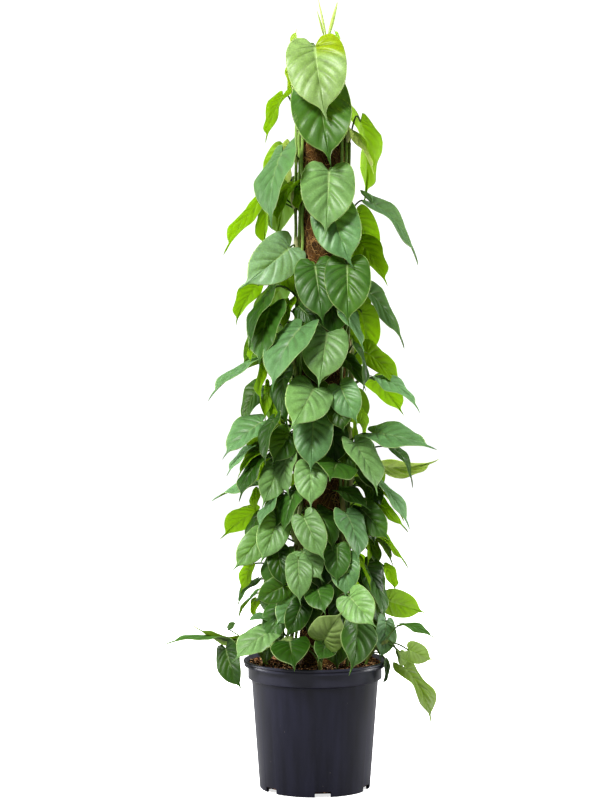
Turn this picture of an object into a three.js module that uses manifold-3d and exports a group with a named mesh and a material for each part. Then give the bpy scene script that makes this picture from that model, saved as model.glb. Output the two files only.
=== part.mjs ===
// Potted heartleaf philodendron on a coir pole: a nursery pot filled with peat, a pole in its middle,
// nine leafy stems that climb the pole and three short sprigs at its foot.
// Millimetres, +Z up. The origin is on the pot's axis, at the ground. The front faces -Y, +X is to the right.
import * as THREE from "three";
import { mergeVertices } from "three/addons/utils/BufferGeometryUtils.js";
import Module from "manifold-3d";

// Pot
const POT_HEIGHT = 215;
const LIP_RADIUS = 120;
const LIP_HEIGHT = 9;
const LIP_TOP_WIDTH = 5;
const LIP_STEP = 1.6;
const LIP_CORNER = 1.2;
const COLLAR_RADIUS = 112;
const COLLAR_HEIGHT = 30;
const COLLAR_SLOPE = 3;
const WALL_TOP_RADIUS = 106;
const BASE_RADIUS = 92.5;
const WALL = 2.2;
const FLOOR_RISE = 4;
const FLOOR = 6.2;
const FOOT_WIDTH = 5;
const FOOT_CORNER = 1.5;
const MIDDLE_FOOT_RADIUS = 22;
const POT_SIDES = 36;
const NOTCHES = 6;
const NOTCH_WIDTH = 27;
const NOTCH_HEIGHT = 9;
const NOTCH_DEPTH = 12;
const NOTCH_TURN = 8;

// Soil
const FIT = 0.4;
const SOIL_TOP = 204;
const SOIL_RELIEF = 2.4;
const SOIL_RINGS = [1, 0.82, 0.62, 0.4];
const ROOT_DEPTH = 55;
const HOLE_CLEARANCE = 1.6;
const HOLE_SIDES = 6;

// Pole, a little to the right of the pot's axis
const POLE_X = 12;
const POLE_TOP = 1200;
const COIR_RADIUS = 38.5;
const COIR_LUMP = 0.9;
const COIR_FRAY = 1.2;
const COIR_LEVELS = 9;
const TUBE_RADIUS = 25;
const TUBE_WALL = 2.4;
const TUBE_STANDS_OUT = 3;
const POLE_SIDES = 20;

// Stems
const STEM_RADIUS = 2.6;
const STEM_SIDES = 5;
const ROOT_RADIUS = 60;
const CLIMB_RADIUS = 45;
const LEAN_START = 20;
const LEAN_IN = 130;
const WANDER = 2;
const WANDER_PITCH = 120;
const STEM_STEP = 56;
const SPRIG_STEPS = 7;
const SPRIG_LEAVES = [0.62, 0.98];
const PETIOLE_RADIUS = 1.3;

// Leaves: thicknesses in millimetres, and the blade's outline and relief in shares of its own length
const EYE = new THREE.Vector3(-25, -4300, 890);
const BLADE = 1.4;
const CLEARANCE = 0.5;
const FULLEST = 0.385;
const ARCH = [0.03, 0.1];
const FOLD = [0.1, 0.32];
const WAVE = [0.03, 0.08];
const HALF_OUTLINE = [
  [0.09, -0.12],
  [0.25, -0.14],
  [0.38, 0.09],
  [0.38, 0.36],
  [0.25, 0.64],
  [0.05, 0.83],
];
const MIDRIB = [0.25, 0.6];
const PETIOLE_RINGS = 3;

// How a leaf seen from the front is placed
const LEAST_LEAN = 1.05;
const FACING = 0.72;
const FACES_BACK = 0.2;
const MIDDLE_DEPTH = 0.35;
const FURTHEST_OFF = 0.95;

// How a leaf finds room: steps out of the foliage, and rise and swing of its petiole's bend
const PUSH_STEP = 3;
const MOST_PUSHES = 30;
const BENDS = [[14, 0], [24, 0], [6, 0], [14, 9], [14, -9], [24, 16], [24, -16]];
const NODE_BELOW = 14;

const wasm = await Module();
wasm.setup();

// Closed geometry to solid, and back
function solid(geometry) {
  geometry.deleteAttribute("normal");
  geometry.deleteAttribute("uv");
  const merged = mergeVertices(geometry, 1e-4);
  return new wasm.Manifold(
    new wasm.Mesh({
      numProp: 3,
      vertProperties: merged.attributes.position.array,
      triVerts: new Uint32Array(merged.index.array),
    }),
  );
}

function geometryOf(shape) {
  const mesh = shape.getMesh();
  const geometry = new THREE.BufferGeometry();
  geometry.setAttribute("position", new THREE.BufferAttribute(mesh.vertProperties, 3));
  geometry.setIndex(new THREE.BufferAttribute(mesh.triVerts, 1));
  geometry.computeVertexNormals();
  return geometry;
}

// Pieces joined in one body, with the hollows that the joint seals filled
function fused(pieces) {
  const bodies = pieces.reduce((body, piece) => body.add(piece)).decompose();
  return bodies.reduce((largest, body) => (body.volume() > largest.volume() ? body : largest));
}

// Round body from a profile of radius and height points
function turned(profile, sides) {
  const points = profile.map(([radius, height]) => new THREE.Vector2(radius, height));
  return new THREE.LatheGeometry(points, sides).rotateX(Math.PI / 2);
}

function rod(radius, from, to, x, y, sides) {
  const geometry = new THREE.CylinderGeometry(radius, radius, to - from, sides);
  return solid(geometry.rotateX(Math.PI / 2).translate(x, y, (from + to) / 2));
}

function regular(radius, sides) {
  const corners = [...Array(sides).keys()].map((i) => {
    const angle = (2 * Math.PI * i) / sides;
    return new THREE.Vector2(radius * Math.cos(angle), radius * Math.sin(angle));
  });
  return new THREE.Shape(corners);
}

function swept(path, radius, sides, steps) {
  const settings = { steps, bevelEnabled: false, extrudePath: path };
  return solid(new THREE.ExtrudeGeometry(regular(radius, sides), settings));
}

// Point at an azimuth round the pole: 0 degrees is the front, 90 the right
function aroundPole(azimuth, radius, z) {
  const angle = THREE.MathUtils.degToRad(azimuth);
  return new THREE.Vector3(POLE_X + radius * Math.sin(angle), -radius * Math.cos(angle), z);
}

const between = ([low, high], share) => low + (high - low) * share;

// Repeatable draws between 0 and 1
function draws(seed) {
  let state = seed * 7919 + 11;
  return () => {
    state = (state * 48271) % 2147483647;
    return state / 2147483647;
  };
}

// Pot shell with a rolled lip, a stepped collar, and a raised floor on a foot ring with drain notches
function pot() {
  const step = POT_HEIGHT - COLLAR_HEIGHT;
  const lip = POT_HEIGHT - LIP_HEIGHT;
  const shell = solid(
    turned(
      [
        [0, 0],
        [MIDDLE_FOOT_RADIUS, 0],
        [MIDDLE_FOOT_RADIUS, FLOOR_RISE],
        [BASE_RADIUS - FOOT_WIDTH, FLOOR_RISE],
        [BASE_RADIUS - FOOT_WIDTH, 0],
        [BASE_RADIUS - FOOT_CORNER, 0],
        [BASE_RADIUS, FOOT_CORNER],
        [WALL_TOP_RADIUS, step - COLLAR_SLOPE],
        [COLLAR_RADIUS, step],
        [COLLAR_RADIUS, lip],
        [LIP_RADIUS - LIP_STEP, lip],
        [LIP_RADIUS - LIP_STEP, lip + LIP_HEIGHT / 2],
        [LIP_RADIUS, lip + LIP_HEIGHT / 2],
        [LIP_RADIUS, POT_HEIGHT - LIP_CORNER],
        [LIP_RADIUS - LIP_CORNER, POT_HEIGHT],
        [LIP_RADIUS - LIP_TOP_WIDTH, POT_HEIGHT],
        [COLLAR_RADIUS - WALL, lip],
        [COLLAR_RADIUS - WALL, step + COLLAR_SLOPE],
        [WALL_TOP_RADIUS - WALL, step],
        [BASE_RADIUS - WALL, FLOOR],
        [0, FLOOR],
      ],
      POT_SIDES,
    ),
  );
  const notches = [...Array(NOTCHES).keys()].map((i) => {
    const box = new THREE.BoxGeometry(NOTCH_WIDTH, 2 * NOTCH_DEPTH, 2 * NOTCH_HEIGHT);
    box.translate(0, -BASE_RADIUS, 0);
    return solid(box.rotateZ(THREE.MathUtils.degToRad(NOTCH_TURN + (360 / NOTCHES) * i)));
  });
  return notches.reduce((body, notch) => body.subtract(notch), shell);
}

// Soil fills the pot to just under the lip, with a crumbled top and plain holes for the pole and the stems
function soil(roots) {
  const foot = FLOOR + FIT;
  const step = POT_HEIGHT - COLLAR_HEIGHT;
  const topRadius = COLLAR_RADIUS - WALL - FIT;
  const profile = [
    [0, foot],
    [BASE_RADIUS - WALL - FIT, foot],
    [WALL_TOP_RADIUS - WALL - FIT, step],
    [topRadius, step + COLLAR_SLOPE + FIT],
  ];
  const rings = SOIL_RINGS.map((share) => [share * topRadius, SOIL_TOP]);
  const geometry = turned([...profile, ...rings, [0, SOIL_TOP]], POT_SIDES);
  const position = geometry.attributes.position;
  for (let i = 0; i < position.count; i++) {
    if (position.getZ(i) < SOIL_TOP - FIT) continue;
    const x = position.getX(i);
    const y = position.getY(i);
    const crumbs = Math.sin(x * 0.21 + 1.3) * Math.cos(y * 0.17) + 0.6 * Math.sin(x * 0.37 - y * 0.43);
    position.setZ(i, SOIL_TOP + SOIL_RELIEF * crumbs);
  }
  const holes = roots.map(([x, y]) => {
    return rod(STEM_RADIUS + HOLE_CLEARANCE, SOIL_TOP - ROOT_DEPTH - FIT, POT_HEIGHT, x, y, HOLE_SIDES);
  });
  const poleHole = rod(COIR_RADIUS + HOLE_CLEARANCE, 0, POT_HEIGHT, POLE_X, 0, POLE_SIDES);
  return [poleHole, ...holes].reduce((body, hole) => body.subtract(hole), solid(geometry));
}

function poleTube() {
  const foot = FLOOR + FIT;
  const top = POLE_TOP + TUBE_STANDS_OUT;
  const inner = TUBE_RADIUS - TUBE_WALL;
  const profile = [[TUBE_RADIUS, foot], [TUBE_RADIUS, top], [inner, top], [inner, foot], [TUBE_RADIUS, foot]];
  return solid(turned(profile, POLE_SIDES).translate(POLE_X, 0, 0));
}

// Matted coir wrapped round the tube, lumpy along its length and frayed wider at the top
function coirJacket() {
  const foot = FLOOR + FIT;
  const inner = TUBE_RADIUS + FIT;
  const last = COIR_LEVELS - 1;
  const outside = [...Array(COIR_LEVELS).keys()].map((i) => {
    const fray = i === last ? COIR_FRAY : 0;
    return [COIR_RADIUS + fray - COIR_LUMP * (i % 2), foot + ((POLE_TOP - foot) * i) / last];
  });
  const profile = [...outside, [inner, POLE_TOP], [inner, foot], outside[0]];
  return solid(turned(profile, POLE_SIDES).translate(POLE_X, 0, 0));
}

// Climbing stems, from left to right round the pole. Each feeds the leaves up to its last azimuth.
const VINES = [
  { name: "vine_1", azimuth: -77, last: -88, top: 1130 },
  { name: "vine_2", azimuth: -63, last: -50, top: 1205 },
  { name: "vine_3", azimuth: -49, last: -8, top: 1204 },
  { name: "vine_4", azimuth: 44, last: 36, top: 1208 },
  { name: "vine_5", azimuth: 62, last: 84, top: 1150 },
  { name: "vine_6", azimuth: 100, last: 104, top: 1080 },
  { name: "vine_7", azimuth: 145, last: 160, top: 1175 },
  { name: "vine_8", azimuth: 190, last: 200, top: 1120 },
  { name: "vine_9", azimuth: 238, last: 256, top: 1185 },
];

const ease = (t) => {
  const share = Math.min(Math.max(t, 0), 1);
  return share * share * (3 - 2 * share);
};

function stemPoint(vine, z) {
  const lean = ease((z - SOIL_TOP - LEAN_START) / LEAN_IN);
  const radius = ROOT_RADIUS + (CLIMB_RADIUS - ROOT_RADIUS) * lean;
  const azimuth = vine.azimuth + lean * WANDER * Math.sin(z / WANDER_PITCH + vine.azimuth / 90);
  return aroundPole(azimuth, radius, z);
}

function vineStem(vine) {
  const foot = SOIL_TOP - ROOT_DEPTH;
  const steps = Math.round((vine.top - foot) / STEM_STEP);
  const heights = [...Array(steps + 1).keys()].map((i) => between([foot, vine.top], i / steps));
  const points = heights.map((z) => stemPoint(vine, z));
  return swept(new THREE.CatmullRomCurve3(points), STEM_RADIUS, STEM_SIDES, steps);
}

// Leaves of the front and both sides: notch x, z, tip x, z and width, all as seen from EYE against the plane
// through the pot's axis. Depth runs from -1, at the front of the foliage, to 1, at its back.
// They grow in this order, and a later leaf lies further out.
const LEAVES = [
  [90, 365, 118, 277, 33, -0.3],
  [115, 372, 135, 327, 20, 0.4],
  [-30, 313, -68, 268, 50, -0.7],
  [-22, 307, -48, 247, 43, -0.8],
  [68, 285, 57, 187, 57, -1],
  [5, 332, 18, 287, 53, -0.9],
  [58, 320, 102, 267, 62, -1],
  [-52, 337, -105, 312, 43, -0.8],
  [122, 313, 188, 292, 45, 0.3],
  [-75, 260, -137, 208, 45, -0.7],
  [-97, 312, -103, 283, 13, 0.2],
  [-97, 348, -130, 300, 13, 0],
  [67, 388, 93, 330, 8, -0.3],
  [50, 387, 52, 313, 52, -1],
  [37, 403, 37, 338, 47, -0.9],
  [-20, 395, 15, 343, 55, -0.8],
  [-28, 382, -25, 303, 47, -1],
  [-62, 397, -50, 330, 43, -0.8],
  [-105, 373, -123, 325, 20, 0.1],
  [102, 423, 155, 368, 8, 0.1],
  [88, 427, 130, 372, 13, 0.4],
  [80, 430, 87, 370, 12, -0.3],
  [3, 465, 30, 392, 40, -0.7],
  [-18, 452, 17, 377, 52, -0.9],
  [-92, 458, -113, 403, 20, 0],
  [-88, 422, -138, 362, 47, -0.4],
  [-61, 450, -92, 372, 55, -0.9],
  [52, 458, 72, 375, 47, -0.9],
  [78, 467, 127, 412, 50, -0.5],
  [-32, 498, -52, 422, 33, -0.8],
  [-65, 485, -95, 430, 15, -0.4],
  [42, 497, 92, 463, 23, -0.6],
  [-95, 463, -157, 415, 40, 0.3],
  [-95, 500, -98, 460, 17, 0],
  [93, 482, 155, 428, 17, 0.1],
  [103, 513, 158, 433, 20, -0.2],
  [-88, 507, -172, 480, 10, 0.1],
  [-7, 540, -7, 465, 57, -1],
  [-47, 555, -42, 485, 37, -0.8],
  [-60, 537, -90, 467, 50, -0.8],
  [37, 545, 22, 513, 75, -0.8],
  [47, 567, 70, 530, 30, -0.6],
  [65, 577, 105, 488, 47, -0.9],
  [102, 542, 207, 550, 27, 0.5],
  [130, 568, 162, 503, 10, 0.2],
  [80, 587, 92, 557, 10, -0.2],
  [97, 593, 202, 565, 38, 0],
  [-87, 612, -155, 550, 45, -0.4],
  [-82, 550, -107, 505, 27, 0.1],
  [-88, 552, -125, 478, 30, -0.2],
  [-88, 563, -128, 518, 13, -0.1],
  [-92, 573, -115, 535, 23, 0.3],
  [-108, 568, -147, 522, 13, 0],
  [-67, 617, -82, 538, 23, -0.5],
  [-42, 593, -73, 538, 52, -0.8],
  [-3, 618, -8, 523, 68, -0.9],
  [37, 643, 48, 592, 45, -0.8],
  [62, 628, 62, 575, 12, -0.5],
  [75, 632, 77, 575, 13, 0],
  [42, 672, 72, 607, 55, -0.9],
  [-2, 668, -43, 595, 80, -1],
  [-83, 712, -178, 647, 15, 0],
  [-95, 668, -125, 605, 28, 0.2],
  [-75, 670, -82, 610, 17, 0.2],
  [-73, 658, -52, 600, 23, -0.2],
  [-50, 692, -42, 598, 30, -0.7],
  [47, 718, 85, 663, 30, -0.7],
  [105, 685, 175, 627, 23, -0.1],
  [100, 682, 148, 622, 40, 0.4],
  [85, 727, 145, 665, 33, 0.2],
  [88, 828, 148, 733, 22, 0.1],
  [77, 795, 93, 710, 53, 0.6],
  [70, 738, 78, 662, 13, -0.5],
  [42, 808, 82, 727, 23, -0.8],
  [-42, 813, -52, 763, 23, -0.4],
  [-25, 803, 12, 770, 37, -0.6],
  [-78, 727, -88, 638, 15, 0],
  [20, 760, 5, 667, 78, -1],
  [-22, 770, -72, 660, 58, -0.9],
  [-98, 755, -107, 708, 13, 0],
  [-74, 802, -93, 702, 55, -0.7],
  [-73, 830, -108, 730, 20, -0.5],
  [-95, 840, -132, 772, 30, 0.4],
  [-53, 877, -28, 822, 30, -0.3],
  [-42, 902, -127, 832, 75, -0.9],
  [72, 913, 120, 838, 40, -0.3],
  [0, 872, 14, 770, 73, -0.9],
  [53, 875, 55, 770, 77, -1],
  [27, 963, 62, 865, 80, -0.8],
  [93, 975, 170, 873, 17, 0.1],
  [68, 955, 105, 872, 53, 0.6],
  [62, 1092, 97, 1022, 13, -0.2],
  [75, 1110, 80, 975, 37, 0.3],
  [23, 1028, 17, 917, 90, -0.9],
  [-25, 998, -27, 960, 17, -0.8],
  [-38, 1005, -63, 937, 23, -0.4],
  [-78, 980, -82, 897, 23, 0.3],
  [-83, 983, -150, 890, 25, 0],
  [-40, 1067, -42, 997, 23, 0.2],
  [-53, 1060, -70, 933, 48, -0.7],
  [-52, 1063, -88, 1003, 42, 0.5],
  [-53, 1152, -82, 1075, 23, 0],
  [5, 1163, 25, 1035, 98, -0.9],
  [-38, 1203, -37, 1150, 13, 0.5],
  [-1, 1233, 18, 1107, 97, -1],
  [-32, 1230, -30, 1262, 13, 0.3],
  [37, 1240, 30, 1262, 8, 0.4],
  [15, 1250, 3, 1293, 5, -0.1, 0.15],
  [22, 1250, 37, 1307, 8, 0.1, 0.15],
  [18, 1250, 5, 1312, 5, 0.1, 0.12],
];

// Short sprigs at the pot's edge: points of the stem from root to tip, and leaves as above, lowest first
const SPRIGS = [
  {
    name: "sprig_front",
    stem: [[8, -82, 150], [8, -82, 190], [8, -83, 212], [6, -88, 228]],
    leaves: [
      [22, 243, 3, 210, 43, -0.8],
      [15, 247, 47, 298, 58, -1],
      [-28, 240, -83, 232, 20, -0.9],
      [-42, 243, -33, 193, 70, -0.9],
    ],
  },
  {
    name: "sprig_right",
    stem: [[84, -28, 150], [84, -28, 190], [85, -28, 213], [101, -34, 240], [122, -38, 252]],
    leaves: [
      [118, 213, 110, 168, 10, -0.3],
      [118, 278, 108, 210, 37, -0.6],
      [142, 227, 145, 197, 17, -0.4],
      [157, 230, 200, 212, 37, -0.5],
      [145, 272, 203, 247, 13, -0.2],
      [150, 198, 195, 103, 35, -0.5],
    ],
  },
  {
    name: "sprig_left",
    stem: [[-80, -30, 150], [-80, -30, 190], [-81, -30, 213], [-101, -34, 240], [-124, -38, 254]],
    leaves: [
      [-125, 242, -145, 233, 8, -0.4],
      [-145, 267, -130, 277, 10, 0],
      [-148, 233, -120, 160, 43, -0.6],
      [-155, 248, -253, 238, 8, 0],
      [-128, 250, -205, 273, 13, 0.2],
      [-72, 282, -117, 277, 13, -0.6],
    ],
  },
];

// Leaves that grow by rule round the back and the sides, from the top down
const GROWN = 112;
const GROWN_TOP = 1150;
const GROWN_FOOT = 225;
const GOLDEN_TURN = 137.508;
const GROWN_SPREAD = 14;
const GROWN_RADIUS = [0.8, 1.1];
const GROWN_LENGTH = [64, 114];
const GROWN_SIZE = [0.85, 1.15];
const GROWN_DROOP = [18, 48];
const GROWN_SWING = 0.7;
const GROWN_TURN = 0.8;
const GROWN_LIFT = 0.3;
const GROWN_PUSHES = 8;
const BARE_FRONT = 72;
const BARE_CROWN = 125;
const BARE_TOP = 930;

// Inner leaves over the front of the pole, from the soil up, except where the pole shows
const COVERS = 28;
const COVER_FOOT = 255;
const COVER_STEP = 22;
const COVER_AZIMUTHS = [-30, 16, -6, 36, -18];
const COVER_SPREAD = 10;
const COVER_RADIUS = CLIMB_RADIUS + 8;
const COVER_OUT = 20;
const COVER_DROP = [66, 82];
const COVER_HANGS = 45;
const COVER_PUSHES = 4;
const BARE_POLE = [
  [440, 520],
  [870, 1300],
];

// Radius at which the blades start, wider towards the foot
const SHELL_TOP_RADIUS = 56;
const SHELL_FOOT_RADIUS = 100;
const SHELL_FOOT = 200;

function shellRadius(z) {
  const down = Math.min(Math.max((GROWN_TOP - z) / (GROWN_TOP - SHELL_FOOT), 0), 1);
  return between([SHELL_TOP_RADIUS, SHELL_FOOT_RADIUS], down);
}

// Point that EYE sees at x, z against the axis plane, at a depth y of its own
function seen(x, z, y) {
  const share = 1 - y / EYE.y;
  return new THREE.Vector3(EYE.x + (x - EYE.x) * share, y, EYE.z + (z - EYE.z) * share);
}

function shaped(leaf, random) {
  leaf.axis = leaf.tip.clone().sub(leaf.notch);
  leaf.length = leaf.axis.length();
  leaf.axis.normalize();
  leaf.face.addScaledVector(leaf.axis, -leaf.face.dot(leaf.axis)).normalize();
  leaf.across = leaf.axis.clone().cross(leaf.face);
  leaf.arch = between(ARCH, random());
  leaf.fold = between(FOLD, random());
  leaf.wave = between(WAVE, random());
  leaf.phase = 2 * Math.PI * random();
  return leaf;
}

function seenLeaf([x, z, tipX, tipZ, width, depth, breadth = 1], random) {
  const radius = shellRadius(z);
  const fullest = 2 * FULLEST * breadth;
  const off = Math.min(Math.abs(x - POLE_X), FURTHEST_OFF * radius);
  const y = depth * Math.sqrt(radius * radius - off * off);
  const across = Math.hypot(tipX - x, tipZ - z);
  const length = Math.max(LEAST_LEAN * across, width / fullest);
  const lean = Math.sqrt(length * length - across * across) * (depth > 0 ? 1 : -1);
  const notch = seen(x, z, y);
  const tip = seen(tipX, tipZ, y + lean);
  const axis = tip.clone().sub(notch).normalize();
  const toEye = EYE.clone().sub(notch);
  const front = toEye.addScaledVector(axis, -toEye.dot(axis)).normalize();
  const side = axis.clone().cross(front);
  if (side.x * (x + tipX - 2 * POLE_X) < 0) side.negate();
  const slim = Math.min(1, width / (fullest * length));
  const share = slim > FACING ? 1 : slim;
  const turn = Math.sqrt(1 - share * share);
  const face = front.multiplyScalar(depth > FACES_BACK ? -share : share).addScaledVector(side, turn);
  const push = EYE.clone().sub(notch).normalize().multiplyScalar(depth > 0 ? -1 : 1);
  const bothWays = Math.abs(depth) < MIDDLE_DEPTH;
  const own = (breadth * slim) / share;
  const leaf = { notch, tip, face, push, breadth: own, bothWays, mayCross: true, steps: MOST_PUSHES };
  return shaped(leaf, random);
}

// Inner leaf that lies close over the front of the pole
function coverLeaf(i, random) {
  const z = COVER_FOOT + COVER_STEP * i;
  if (BARE_POLE.some(([low, high]) => z > low && z - COVER_HANGS < high)) return null;
  const azimuth = COVER_AZIMUTHS[i % COVER_AZIMUTHS.length] + COVER_SPREAD * (random() - 0.5);
  const push = aroundPole(azimuth, 1, 0).sub(aroundPole(azimuth, 0, 0));
  const notch = aroundPole(azimuth, COVER_RADIUS, z);
  const tip = notch.clone().addScaledVector(push, COVER_OUT);
  tip.z -= between(COVER_DROP, random());
  const face = push.clone();
  return shaped({ notch, tip, face, push, breadth: 1, mayCross: true, steps: COVER_PUSHES }, random);
}

function grownLeaf(i, random) {
  const z = GROWN_TOP + ((GROWN_FOOT - GROWN_TOP) * (i + random())) / GROWN;
  const spin = ((i * GOLDEN_TURN) % 360) - 180;
  const azimuth = spin + GROWN_SPREAD * (random() - 0.5);
  if (Math.abs(azimuth) < (z > BARE_TOP ? BARE_CROWN : BARE_FRONT)) return null;
  const notch = aroundPole(azimuth, shellRadius(z) * between(GROWN_RADIUS, random()), z);
  const push = aroundPole(azimuth, 1, 0).sub(aroundPole(azimuth, 0, 0));
  const side = new THREE.Vector3(-push.y, push.x, 0);
  const droop = THREE.MathUtils.degToRad(between(GROWN_DROOP, random()));
  const up = (z - GROWN_FOOT) / (GROWN_TOP - GROWN_FOOT);
  const length = between(GROWN_LENGTH, up) * between(GROWN_SIZE, random());
  const axis = push.clone().multiplyScalar(Math.sin(droop));
  axis.z = -Math.cos(droop);
  axis.addScaledVector(side, GROWN_SWING * (random() - 0.5)).normalize();
  const tip = notch.clone().addScaledVector(axis, length);
  const face = push.clone().addScaledVector(side, GROWN_TURN * (random() - 0.5));
  face.z = GROWN_LIFT;
  return shaped({ notch, tip, face, push, breadth: 1, steps: GROWN_PUSHES }, random);
}

// Point of a blade's middle surface, from shares of the length: across and along from the notch
function bladePoint(leaf, across, along) {
  const side = Math.abs(across);
  const ripple = leaf.wave * Math.sin(8 * along + leaf.phase + (across > 0 ? 1.7 : 0)) * side * side * 6;
  const lift = leaf.arch * 4 * along * (1 - along) + leaf.fold * side * (1 - 1.4 * side) + ripple;
  return leaf.notch
    .clone()
    .addScaledVector(leaf.axis, along * leaf.length)
    .addScaledVector(leaf.across, across * leaf.breadth * leaf.length)
    .addScaledVector(leaf.face, lift * leaf.length);
}

// Petiole's run from the stem, up over its neighbours and down into the notch
function petiolePath(leaf, root, [rise, swing]) {
  const out = leaf.notch.clone().sub(root);
  const level = new THREE.Vector3(root.x - POLE_X, root.y, 0).normalize();
  const first = root.clone().addScaledVector(out, 0.3).addScaledVector(level, 0.12 * out.length() + 3);
  first.z += rise;
  first.addScaledVector(leaf.across, swing);
  const second = bladePoint(leaf, 0, -0.16).addScaledVector(leaf.face, -2);
  return new THREE.CubicBezierCurve3(root, first, second, leaf.notch);
}

// Three corners round each point of the petiole, from the notch back to the root
function petioleRings(leaf, path, radius) {
  let [up, aside] = [leaf.face.clone(), leaf.across.clone()];
  let before = leaf.axis;
  return [...Array(PETIOLE_RINGS).keys()].flatMap((i) => {
    const t = 1 - i / (PETIOLE_RINGS - 1);
    const heading = i === 0 ? leaf.axis : path.getTangent(t);
    const turn = new THREE.Quaternion().setFromUnitVectors(before, heading);
    [up, aside] = [up.clone().applyQuaternion(turn), aside.clone().applyQuaternion(turn)];
    before = heading;
    return [0, 120, 240].map((degrees) => {
      const angle = THREE.MathUtils.degToRad(degrees);
      const corner = path.getPoint(t).addScaledVector(up, radius * Math.cos(angle));
      return corner.addScaledVector(aside, radius * Math.sin(angle));
    });
  });
}

// Heart-shaped blade with its petiole. Both faces of the blade are split into the same triangles.
function leafSolid(leaf, path, margin) {
  const half = [...HALF_OUTLINE, [0, 1]];
  const rings = petioleRings(leaf, path, PETIOLE_RADIUS + margin);
  const lift = leaf.face.clone().multiplyScalar(BLADE / 2 + margin);
  const spine = MIDRIB.map((along) => bladePoint(leaf, 0, along));
  const tip = bladePoint(leaf, 0, 1);
  const [top, right, left] = rings;
  const faces = [[right, left, spine[0].clone().sub(lift)]];
  for (const side of [1, -1]) {
    const corner = side > 0 ? right : left;
    const edge = HALF_OUTLINE.map(([across, along]) => bladePoint(leaf, side * across, along));
    const rim = [corner, ...edge, tip];
    for (const level of [1, -1]) {
      const [near, far] = spine.map((point) => point.clone().addScaledVector(lift, level));
      const fan = [0, 1, 2, 3].map((i) => [rim[i], rim[i + 1], near]);
      fan.push([rim[4], far, near], ...[4, 5, 6].map((i) => [rim[i], rim[i + 1], far]));
      if (level > 0) fan.push([top, corner, near]);
      faces.push(...fan.map(([a, b, c]) => (side * level > 0 ? [a, b, c] : [a, c, b])));
    }
  }
  for (let i = 0; i + 3 < rings.length; i += 3) {
    for (let j = 0; j < 3; j++) {
      const [a, b] = [rings[i + j], rings[i + ((j + 1) % 3)]];
      const [c, d] = [rings[i + 3 + j], rings[i + 3 + ((j + 1) % 3)]];
      faces.push([a, c, b], [b, c, d]);
    }
  }
  faces.push(rings.slice(-3).reverse());
  return solid(new THREE.BufferGeometry().setFromPoints(faces.flat()));
}

const meets = (a, b) => [0, 1, 2].every((i) => a.min[i] < b.max[i] && b.min[i] < a.max[i]);
const taken = [];

function isClear(shape, stem, crossing) {
  const box = shape.boundingBox();
  return taken.every((other) => {
    if (other.stem === stem && (crossing || other.shape === stem.pieces[0])) return true;
    if (!meets(box, other.box)) return true;
    const common = shape.intersect(other.shape);
    const clear = common.isEmpty();
    common.delete();
    return clear;
  });
}

function take(shape, stem) {
  taken.push({ shape, stem, box: shape.boundingBox() });
}

// Moves a leaf out step by step, and bends its petiole, until it is clear of all that has grown already.
// Where that finds no room, it may cross leaves of its own stem, with which it is fused.
function grow(leaf, stem, root) {
  for (const crossing of leaf.mayCross ? [false, true] : [false]) {
    for (let step = 0; step < leaf.steps; step++) {
      const shift = leaf.bothWays ? (step % 2 ? (step + 1) / 2 : -step / 2) : step;
      const moved = { ...leaf, notch: leaf.notch.clone().addScaledVector(leaf.push, shift * PUSH_STEP) };
      for (const bend of BENDS) {
        const path = petiolePath(moved, root, bend);
        if (!isClear(leafSolid(moved, path, CLEARANCE), stem, crossing)) continue;
        const shape = leafSolid(moved, path, 0);
        take(shape, stem);
        stem.pieces.push(shape);
        return;
      }
    }
  }
}

const azimuthOf = (point) => THREE.MathUtils.radToDeg(Math.atan2(point.x - POLE_X, -point.y));

// Vine whose stretch of the pole's turn holds the leaf
function vineFor(leaf) {
  let turn = azimuthOf(leaf.notch);
  if (turn < VINES[VINES.length - 1].last - 360) turn += 360;
  return VINES.find((vine) => turn <= vine.last);
}

function nodeOn(vine, leaf) {
  const height = Math.max(SOIL_TOP + NODE_BELOW, leaf.notch.z - NODE_BELOW);
  return stemPoint(vine, Math.min(vine.top - STEM_RADIUS, height));
}

const leafGreen = new THREE.MeshStandardMaterial({ color: "#5f9a45", roughness: 0.4, metalness: 0 });
const potBlack = new THREE.MeshStandardMaterial({ color: "#2b2b34", roughness: 0.38, metalness: 0 });
const peatBrown = new THREE.MeshStandardMaterial({ color: "#3a2616", roughness: 0.95, metalness: 0 });
const coirBrown = new THREE.MeshStandardMaterial({ color: "#6b4a2a", roughness: 0.9, metalness: 0 });
const tubeGrey = new THREE.MeshStandardMaterial({ color: "#8c8c88", roughness: 0.5, metalness: 0 });

const plant = new THREE.Group();

function add(name, shape, material) {
  const mesh = new THREE.Mesh(geometryOf(shape), material);
  mesh.name = name;
  plant.add(mesh);
}

for (const vine of VINES) vine.pieces = [vineStem(vine)];
for (const sprig of SPRIGS) {
  sprig.path = new THREE.CatmullRomCurve3(sprig.stem.map((point) => new THREE.Vector3(...point)));
  sprig.pieces = [swept(sprig.path, STEM_RADIUS, STEM_SIDES, SPRIG_STEPS)];
}
const stems = [...VINES, ...SPRIGS];
const roots = [
  ...VINES.map((vine) => stemPoint(vine, SOIL_TOP - ROOT_DEPTH)),
  ...SPRIGS.map((sprig) => sprig.path.getPoint(0)),
];
const still = { pot: pot(), soil: soil(roots), pole_tube: poleTube(), coir_jacket: coirJacket() };
for (const shape of Object.values(still)) take(shape);
for (const stem of stems) take(stem.pieces[0], stem);

// Every leaf has a seed of its own. The sprigs' leaves grow first, and the inner and back ones last.
let seed = 1;
for (const sprig of SPRIGS) {
  sprig.leaves.forEach((row, i) => {
    const share = between(SPRIG_LEAVES, i / (sprig.leaves.length - 1));
    grow(seenLeaf(row, draws(seed++)), sprig, sprig.path.getPoint(share));
  });
}

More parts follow.
